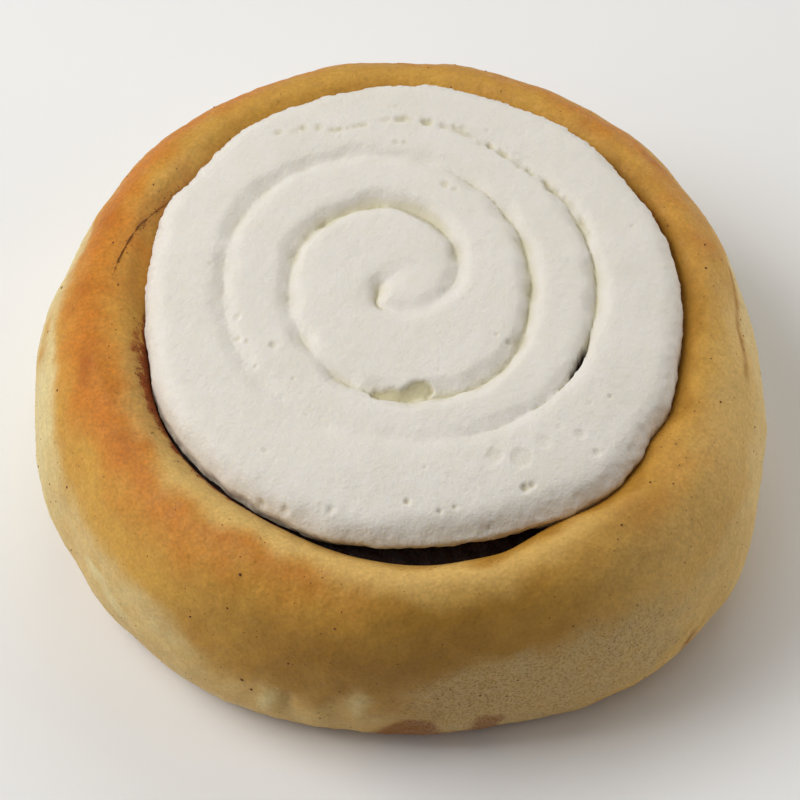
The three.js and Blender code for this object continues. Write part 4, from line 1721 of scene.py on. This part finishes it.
    def blank(self) -> Object:
        """The frosting before its valleys, slits and bubbles: top, ragged side and underside.

        Returns:
            Its closed mesh.
        """
        top = self.ring_points()
        sides = 6 * self.rings
        heading = np.arange(sides) * FULL_TURN / sides
        edge = self.form.frosting_edge(heading)
        share = np.linspace(0, 1, self.side_rows + 1)[1:]
        clear = hump(heading_between(heading, self.open_heading), self.open_width)[None]
        shut, opened = (
            [along_rows([mark[i] for mark in marks], share)[:, None] for i in (0, 1)]
            for marks in (self.side, self.open_side)
        )
        insets = lerp(shut[0], opened[0], clear)
        heights = lerp(shut[1], opened[1], clear)
        upper = smoothstep(heights, 32.6, 36.4)
        rim_shift = top[-sides:, 2] + self.edge_drop(self.shoulder_inset, heading) - self.edge_top
        heights = heights - upper * (self.edge_drop(insets, heading[None]) - rim_shift[None])
        rows = plan_points(edge[None] - insets, heading[None], heights)
        underside = np.array([[0.0, 0.0, self.side[-1][1]]])
        points = np.concatenate([top, rows.reshape(-1, 3), underside])
        faces = self.top_faces()
        first = len(top) - sides
        faces += [face[::-1] for face in ring_faces(self.side_rows + 1, sides, first)]
        last = len(points) - 1 - sides
        faces += fan_faces(len(points) - 1, list(range(last, last + sides)), True)
        points = self.roughened(points)
        return mesh_object("frosting_blank", points, faces)

    def roughened(self, points: Array) -> Array:
        """Makes the blank's crowns uneven and its side ragged.

        Args:
            points: The plain blank's points.

        Returns:
            The points, moved.
        """
        moved = points.copy()
        heading = headings_of(points)
        crowns = uneven(points * self.crown_stretch, self.crowns)
        moved[:, 2] += smoothstep(points[:, 2], *self.crown_heights) * crowns
        torn = self.least_torn + bulged(self.torn_places, heading)
        ragged = uneven(points, self.side_waves) + torn * uneven(points, self.torn_waves) - self.side_inset
        ragged = np.clip(ragged, *self.side_limits) * (1 - smoothstep(points[:, 2], *self.side_crest))
        ragged *= smoothstep(points[:, 2], *self.side_foot)
        moved[:, :2] += plan_points(ragged, heading, 0.0)[:, :2]
        return moved

    def valley_plan(self) -> tuple[Array, Array]:
        """Places along the valley between the turns.

        Returns:
            The places as degrees along it, and in plan.
        """
        last = len(self.valley_radii) - 1
        along = np.arange(self.piping_start, self.piping_start + self.valley_spacing * last, 1.0)
        radius = along_rows(self.valley_radii, (along - self.piping_start) / (self.valley_spacing * last))
        angle = np.radians(along)
        path = np.stack([self.pole[0] + radius * np.cos(angle), self.pole[1] + radius * np.sin(angle)], 1)
        return along, path + 0.06 * wander(path, 7, 51, 52)

    def deep_along(self, along: Array, depths: Sequence[float], path: Array, waves: Waves) -> Array:
        """Depth of a valley or crease at places along it, from its table, with a wave in it."""
        share = (along - self.piping_start) / (self.valley_spacing * (len(depths) - 1))
        return np.maximum(0, along_rows(depths, share)) * (1 + uneven(path, waves))

    def valley_path(self) -> Object:
        """The valley between the turns as a line that knows its depth and flanks.

        Returns:
            The line.
        """
        along, path = self.valley_plan()
        depth = self.deep_along(along, self.valley_depths, path, self.valley_waves)
        wider, heading, spread = self.widest_flank
        inner = self.inner_flank * (1 + uneven(path, self.inner_waves))
        inner += wider * hump(along - heading, spread)
        outer = self.outer_flank * (1 + uneven(path, self.outer_waves))
        return self.line("valley_path", path, depth, inner, outer)

    def crease_path(self) -> Object:
        """The crease at the bottom of the valley as a line that knows its depth and flanks.

        Returns:
            The line.
        """
        along, path = self.valley_plan()
        depth = self.deep_along(along, self.crease_depths, path, self.crease_waves)
        return self.line("crease_path", path, np.maximum(depth, 0), *self.crease_flanks)

    def slit_path(self) -> Object:
        """The stretch of the valley that gapes, as a line that knows its depth and flanks.

        Returns:
            The line.
        """
        along, path = self.valley_plan()
        near = np.abs(along - self.slit_heading) < self.slit_reach
        gape = hump(along[near] - self.slit_heading, self.slit_spread)
        return self.line("slit_path", path[near], self.slit_depth * gape, 0.1 + 0.4 * gape, 0.1 + 0.3 * gape)

    def marked_path(self, name: str, marks: Marks, broken: float = 0.0) -> Object:
        """A line through marks of x, y, depth and half width.

        Args:
            name: The object's name.
            marks: The places that it runs through.
            broken: How far its depth comes and goes, as a share of itself.

        Returns:
            The line as an object.
        """
        table = np.array(marks)
        share = np.linspace(0, 1, 20 * len(table))
        rows = np.stack([along_rows(table[:, i], share) for i in range(4)], 1)
        depth = np.maximum(rows[:, 2] * (1 + broken * band_noise(rows[:, :2], 2.4, 57)), 0)
        return self.line(name, rows[:, :2], depth, rows[:, 3], rows[:, 3])

    def line(self, name: str, path: Array, *forms: Any) -> Object:
        """A mesh of edges only, flat on the floor, with its form stored in metres.

        Args:
            name: The object's name.
            path: Places in plan, in millimetres.
            *forms: Depth, inner flank and outer flank at each place, in millimetres.

        Returns:
            The object, which shows only to the trees.
        """
        points = np.concatenate([path, np.zeros((len(path), 1))], 1)
        made = mesh_object(name, points, edges=[(i, i + 1) for i in range(len(path) - 1)])
        set_attribute(made, "line_form", np.stack(np.broadcast_arrays(*forms), 1) * MM)
        return made

    def pore_points(self) -> Object:
        """The large bubbles as loose points on the frosting that know their form.

        Returns:
            The points.
        """
        marks = np.array([(p.x, p.y, p.z, p.radius, p.depth, p.steepness) for p in self.pores])
        made = mesh_object("large_bubbles", marks[:, :3])
        set_attribute(made, "pore_form", marks[:, 3:] * (MM, MM, 1))
        return made

    def relief_tree(self) -> GeometryTree:
        """The tree that presses a valley into a surface along a path.

        Its flanks are quarter rounds, narrow towards the pole and wide away from it, so that each
        turn of the rope stands up steeply at its outer side and sinks gently at its inner one.

        Returns:
            The tree.
        """
        inputs = {"Path": "Object", "Pole": "Vector", "Mark": "String"}
        inputs.update(dict.fromkeys(PRESS_LENGTHS + PRESS_SHARES, "Float"))
        made = GeometryTree("piped_relief", inputs)
        tree = made.tree
        soft = {"interpolation_type": "SMOOTHSTEP"}
        place = add(tree, "GeometryNodeInputPosition")
        rag = add(tree, NOISE, {"Vector": place, "Scale": 1 / (self.rag_size * MM), "Detail": 2.0})
        rag = add(tree, VECTORS, {0: rag.outputs["Color"], 1: (0.5, 0.5, 0.5)}, **MINUS)
        rag = add(tree, VECTORS, {0: rag, "Scale": made["Raggedness"]}, operation="SCALE")
        torn = add(tree, VECTORS, {0: place, 1: rag}, operation="ADD")
        flat = add(tree, VECTORS, {0: torn, 1: (1, 1, 0)}, **TIMES)
        path = add(tree, "GeometryNodeObjectInfo", {"Object": made["Path"]}).outputs["Geometry"]
        near = {"Geometry": path, "Sample Position": flat}
        near = add(tree, "GeometryNodeProximity", near, target_element="EDGES")
        away = near.outputs["Distance"]
        depth, inner, outer = made.nearest_form(path, flat, "line_form")[1]
        here = add(tree, VECTORS, {0: flat, 1: made["Pole"]}, operation="DISTANCE")
        there = add(tree, VECTORS, {0: near, 1: made["Pole"]}, operation="DISTANCE")
        outside = add(tree, MATH, {0: here, 1: there}, operation="GREATER_THAN")
        flank = add(tree, MIX, {0: outside, 2: inner, 3: outer})
        share = add(tree, MATH, {0: away, 1: flank}, operation="DIVIDE", use_clamp=True)
        left = add(tree, MATH, {0: 1.0, 1: share}, **MINUS)
        square = add(tree, MATH, {0: left, 1: left}, **TIMES)
        crown = add(tree, MATH, {0: 1.0, 1: square}, **MINUS)
        crown = add(tree, MATH, {0: crown}, operation="SQRT")
        crease = add(tree, MATH, {0: 1.0, 1: crown}, **MINUS)
        crease = add(tree, MIX, {0: made["Softness"], 2: crease, 3: add(tree, RANGE, {0: left}, **soft)})
        steep = add(tree, MATH, {0: share, 1: self.pit_steepness}, operation="POWER")
        pit = add(tree, MATH, {0: 1.0, 1: steep}, **MINUS)
        narrow = add(tree, MIX, {0: made["Flatness"], 2: crease, 3: pit})
        wide = add(tree, RANGE, {0: away, 2: made["Rounding"], 3: 1.0, 4: 0.0}, **soft)
        profile = add(tree, MIX, {0: made["Rounded share"], 2: narrow, 3: wide})
        sunk = add(tree, MATH, {0: depth, 1: profile}, **TIMES)
        height = add(tree, SPLIT, {0: place}).outputs[2]
        foot, crest = (height_mm * MM for height_mm in self.relief_heights)
        on_top = add(tree, RANGE, {0: height, 1: foot, 2: crest}, **soft)
        sunk = add(tree, MATH, {0: sunk, 1: on_top}, **TIMES)
        down = add(tree, MATH, {0: sunk, 1: -1.0}, **TIMES)
        mark = add(tree, MATH, {0: sunk, 1: made["Full depth"]}, operation="DIVIDE", use_clamp=True)
        made.press(mark, add(tree, JOIN, {2: down}))
        return made

    def pore_tree(self) -> GeometryTree:
        """The tree that dents a surface at placed bubbles and at small ones scattered over it.

        Returns:
            The tree.
        """
        inputs = {"Placed": "Object", "Mark": "String", "Density": "Float", "Seed": "Int"}
        made = GeometryTree("burst_bubbles", {**inputs, "Smallest": "Float", "Largest": "Float"})
        tree = made.tree
        strewn = {"Mesh": made["Geometry"], "Density": made["Density"], "Seed": made["Seed"]}
        size = add(tree, RANDOM, {2: made["Smallest"], 3: made["Largest"], "Seed": made["Seed"]})
        deep = add(tree, MATH, {0: size, 1: self.small_pore_depth}, **TIMES)
        form = add(tree, JOIN, {0: size, 1: deep, 2: self.small_pore_steepness})
        stored = {"Geometry": add(tree, SCATTER, strewn), "Name": "pore_form", "Value": form}
        scattered = add(tree, STORE, stored, data_type="FLOAT_VECTOR")
        placed = add(tree, "GeometryNodeObjectInfo", {"Object": made["Placed"]}).outputs["Geometry"]
        placed = add(tree, "GeometryNodeMeshToPoints", {"Mesh": placed})
        points = add(tree, "GeometryNodeJoinGeometry", {0: [scattered, placed]})
        place = add(tree, "GeometryNodeInputPosition")
        index, (radius, depth, steepness) = made.nearest_form(points, place, "pore_form")
        picked = {"Geometry": points, "Value": place, "Index": index}
        centre = add(tree, PICK, picked, data_type="FLOAT_VECTOR")
        level = add(tree, VECTORS, {0: place, 1: self.pore_squash}, **TIMES)
        middle = add(tree, VECTORS, {0: centre, 1: self.pore_squash}, **TIMES)
        gap = add(tree, VECTORS, {0: level, 1: middle}, operation="DISTANCE")
        share = add(tree, MATH, {0: gap, 1: radius}, operation="DIVIDE", use_clamp=True)
        rise = add(tree, MATH, {0: share, 1: steepness}, operation="POWER")
        filled = add(tree, MATH, {0: 1.0, 1: rise}, **MINUS)
        sunk = add(tree, MATH, {0: depth, 1: filled}, **TIMES)
        down = add(tree, MATH, {0: sunk, 1: -1.0}, **TIMES)
        normal = add(tree, "GeometryNodeInputNormal")
        mark = add(tree, MATH, {0: sunk, 1: 1 / (self.full_pore_depth * MM)}, **TIMES)
        made.press(mark, add(tree, VECTORS, {0: normal, "Scale": down}, operation="SCALE"))
        return made

    def build(self, finish: Material) -> Object:
        """Makes the frosting and hands it to the frame.

        Args:
            finish: The frosting's material.

        Returns:
            The piece.
        """
        blank = self.blank()
        bubbles = self.pore_points()
        pole = tuple((np.array([*self.pole, 0.0]) + PLAN_SHIFT) * MM)
        relief, pores = self.relief_tree(), self.pore_tree()
        pit_path = self.marked_path("pit_path", self.torn_pit)
        seam_path = self.marked_path("back_seam_path", self.back_seam, self.back_seam_broken)
        # Mark, path, the PRESS_LENGTHS in millimetres and the PRESS_SHARES
        presses = (
            ("valley", self.valley_path(), (1.5, self.rounding, 0.12), (0.35, 1.0, 0.0)),
            ("crease", self.crease_path(), (0.6, 1.0, 0.4), (0.0, 0.0, 0.0)),
            ("slit", self.slit_path(), (self.slit_depth, 1.0, 0.3), (0.0, 0.0, 1.0)),
            ("pit", pit_path, (0.7, 1.0, 0.9), (0.0, 0.0, 1.0)),
            ("back_seam", seam_path, (0.35, 1.0, 1.0), (0.0, 0.6, 0.2)),
        )
        for mark, path, lengths, shares in presses:
            sizes = dict(zip(PRESS_LENGTHS, (length * MM for length in lengths)))
            sizes.update(zip(PRESS_SHARES, shares))
            relief.put_on(blank, finish, Path=path, Pole=pole, Mark=mark, **sizes)
        smallest, largest = (size * MM for size in self.small_pore_sizes)
        none = {"Density": 0.0, "Smallest": 0.0, "Largest": 0.0, "Seed": 0}
        many = {"Density": self.small_pore_density, "Smallest": smallest, "Largest": largest, "Seed": 7}
        pores.put_on(blank, finish, Placed=bubbles, Mark="pore", **none)
        pores.put_on(blank, finish, Mark="small_pore", **many)
        piece = evaluated(blank, "piped_frosting")
        for helper in (bubbles, *(press[1] for press in presses)):
            bpy.data.objects.remove(helper)
        self.tint(piece)
        hand_over(piece, Slot.FROSTING, "frosting")
        return piece

    def tint(self, made: Object) -> None:
        """Stores the painted shade, a cream tint, in each fold and bubble and on the low side, and where the
        deep slit is painted dark.

        Args:
            made: The pressed frosting.
        """
        marks = {}
        for name in ("valley", "crease", "slit", "pit", "back_seam", "pore", "small_pore"):
            marks[name] = np.empty(len(made.data.vertices))
            made.data.attributes[name].data.foreach_get("value", marks[name])
        points = own_points(made)
        low = 1 - smoothstep(points[:, 2], *self.low_side)
        back = smoothstep(points[:, 1], *self.back_pores)
        # Painted shade in the valleys, creases, pits, bubbles, back seam and low side
        fold_shade = sum(most * smoothstep(marks[name], begins, ends) for name, most, begins, ends in self.mark_shade)
        fold_shade += 0.6 * (np.minimum(marks["pore"], 1) ** 2 + marks["back_seam"] + low)
        fold_shade += 0.3 * marks["small_pore"] + 0.4 * back * np.minimum(2.5 * marks["pore"], 1)
        set_attribute(made, "fold_shade", np.clip(fold_shade, 0, 1))
        heading = headings_of(points) % FULL_TURN
        smeared = 0.5 * low * smoothstep(band_noise(points, 2.4, 58), -1.2, 1.2)
        smeared *= stepped(heading, self.smeared_ends)
        # painted shade in the slit, and the smear low on the left-front side
        set_attribute(made, "deep", np.maximum(smoothstep(marks["slit"], *self.slit_painted_shade), smeared))


# ---- grains ----


@dataclass
class Grains:
    """Grains scattered over a surface, half sunk in it."""

    name: str
    density: float
    smallest: float
    largest: float
    seed: int
    lowest: float = 0.3
    most_spin: float = 6.28
    # Least and most of a grain's length, width and height, as shares of its size
    slimmest: Triple = (0.7, 0.7, 0.4)
    fullest: Triple = (1.4, 1.2, 0.7)

    def tree(self) -> GeometryTree:
        """The tree that scatters uneven grains where an attribute says so, none of them under the bun.

        Returns:
            The tree.
        """
        numbers = ("Density", "Smallest", "Largest", "Lowest")
        inputs = {"Where": "String", "Seed": "Int", **dict.fromkeys(numbers, "Float")}
        made = GeometryTree(self.name + "_scatter", inputs)
        tree, seed = made.tree, made["Seed"]
        where = add(tree, STORED, {"Name": made["Where"]})
        density = add(tree, MATH, {0: where, 1: made["Density"]}, **TIMES)
        scattered = add(tree, SCATTER, {"Mesh": made["Geometry"], "Density": density, "Seed": seed})
        height = add(tree, SPLIT, {0: add(tree, "GeometryNodeInputPosition")}).outputs[2]
        under = add(tree, MATH, {0: height, 1: made["Lowest"]}, operation="LESS_THAN")
        points = add(tree, "GeometryNodeDeleteGeometry", {"Geometry": scattered, "Selection": under})
        size = add(tree, RANDOM, {2: made["Smallest"], 3: made["Largest"], "Seed": seed})
        next_seed = add(tree, MATH, {0: seed, 1: 1.0}, operation="ADD")
        shape = {0: self.slimmest, 1: self.fullest, "Seed": next_seed}
        shape = add(tree, RANDOM, shape, data_type="FLOAT_VECTOR")
        scale = add(tree, VECTORS, {0: shape, "Scale": size}, operation="SCALE")
        spin = add(tree, JOIN, {2: add(tree, RANDOM, {2: 0.0, 3: self.most_spin})})
        turned = {0: scattered.outputs["Rotation"], 1: spin}
        turned = add(tree, "FunctionNodeRotateRotation", turned, rotation_space="LOCAL")
        grain = add(tree, "GeometryNodeMeshIcoSphere", {"Radius": 1.0, "Subdivisions": 1})
        placed = {"Points": points, "Instance": grain, "Rotation": turned, "Scale": scale}
        made.finish(add(tree, "GeometryNodeInstanceOnPoints", placed))
        return made

    def build(self, ground: Object, where: Array, finish: Material) -> Object:
        """Makes the grains and hands them to the frame.

        Args:
            ground: The piece that they lie on.
            where: How many there are at each of its vertices, from 0 to 1.
            finish: The grains' material.

        Returns:
            The piece.
        """
        copy = linked(self.name + "_ground", ground.data.copy())
        set_attribute(copy, "strewn", where)
        self.tree().put_on(
            copy,
            finish,
            Where="strewn",
            Density=self.density,
            Smallest=self.smallest * MM,
            Largest=self.largest * MM,
            Lowest=self.lowest * MM,
            Seed=self.seed,
        )
        piece = evaluated(copy, self.name)
        hand_over(piece, Slot.FILLING)
        return piece


# ---- stage ----


@dataclass(frozen=True)
class SoftLight:
    """A square studio light, aimed at the bun."""

    name: str
    azimuth: float
    elevation: float
    power: float
    size: float = 0.45
    distance: float = 0.8

    def build(self, target: Vector) -> None:
        """Adds the light.

        Args:
            target: The point that it is aimed at.
        """
        data = bpy.data.lights.new(self.name, "AREA")
        data.shape, data.size, data.energy = "SQUARE", self.size, self.power
        light = linked(self.name, data)
        turn, lift = math.radians(self.azimuth), math.radians(self.elevation)
        away = Vector((math.cos(turn) * math.cos(lift), math.sin(turn) * math.cos(lift), math.sin(lift)))
        light.location = target + away * self.distance
        light.rotation_euler = away.to_track_quat("Z", "Y").to_euler()


@dataclass(frozen=True)
class Studio:
    """A plain pale floor, soft light from behind and to the left, and the camera."""

    floor_colour: str = "#f4f3f1"
    floor_roughness: float = 0.9
    floor_size: float = 3.0
    world_strength: float = 0.02
    camera_elevation: float = 54.0
    camera_distance: float = 450.0
    focal_length: float = 143.28
    sensor_width: float = 36.0
    nearest: float = 0.01
    aim: Triple = (-0.344, -1.34, 15.0)
    lights: tuple[SoftLight, ...] = (
        SoftLight("key", 176, 50, 4.3, 0.5),
        SoftLight("back", 80, 50, 1.2),
        SoftLight("back_right", 45, 20, 1.2),
        SoftLight("right", 359, 10, 1.95),
        SoftLight("left", 190, 20, 0.9),
        SoftLight("front_left", 225, 50, 0.65),
        SoftLight("overhead", 0, 89, 0.3),
    )

    def build(self) -> None:
        """Adds the floor, the lights and the camera."""
        scene = bpy.context.scene
        scene.view_settings.view_transform = "Standard"
        target = Vector((np.array(self.aim) + PLAN_SHIFT) * MM)
        half = self.floor_size / 2
        corners = [(-half, -half, 0), (half, -half, 0), (half, half, 0), (-half, half, 0)]
        mesh = bpy.data.meshes.new("floor")
        mesh.from_pydata(corners, [], [(0, 1, 2, 3)])
        floor = linked("floor", mesh)
        paper = bpy.data.materials.new("plain_paper")
        paper.use_nodes = True
        looks = {"Base Color": linear(self.floor_colour), "Roughness": self.floor_roughness}
        feed(paper.node_tree, paper.node_tree.nodes["Principled BSDF"], looks)
        mesh.materials.append(paper)
        world = bpy.data.worlds.new("studio")
        world.use_nodes = True
        sky = {"Color": (1, 1, 1, 1), "Strength": self.world_strength}
        feed(world.node_tree, world.node_tree.nodes["Background"], sky)
        scene.world = world
        for light in self.lights:
            light.build(target)
        data = bpy.data.cameras.new("camera")
        data.lens, data.sensor_width, data.clip_start = self.focal_length, self.sensor_width, self.nearest
        camera = linked("camera", data)
        lift = math.radians(self.camera_elevation)
        away = Vector((0, -math.cos(lift), math.sin(lift)))
        camera.location = target + away * self.camera_distance * MM
        camera.rotation_euler = away.to_track_quat("Z", "Y").to_euler()
        scene.camera = camera


def main() -> None:
    """Builds the bun and its stage."""
    logging.basicConfig(level=logging.INFO, format="%(name)s: %(message)s", stream=sys.stdout)
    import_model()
    form = BunForm()
    seam = Seam(form)
    Studio().build()
    coil = DoughCoil(form, seam)
    dough = coil.build(CrustFinish().build())
    # Near-black tones: the paste's own dark brown, deepened by painted shade of the slot and gap
    CinnamonFilling(seam).build(FillingFinish("melted_cinnamon_paste_in_shade", "#1c0d08", "#3c2012").build())
    PipedFrosting(form).build(FrostingFinish().build())
    surface = Surface.of(form, own_points(dough))
    outside = smoothstep(surface.beyond_lip, 0.2, 0.8) * smoothstep(surface.height, 1.5, 4)
    smeared = np.maximum(coil.stained(surface), coil.seam_grains(surface))
    cinnamon = FillingFinish("ground_cinnamon", "#5a2a12", "#8a4c20").build()
    Grains("cinnamon_specks", 6500.0, 0.13, 0.24, 3).build(dough, outside, cinnamon)
    Grains("fine_specks", 65000.0, 0.05, 0.12, 4).build(dough, outside, cinnamon)
    Grains("filling_grains", 6.0e6, 0.05, 0.15, 5).build(dough, smeared, cinnamon)


if __name__ == "__main__":
    main()
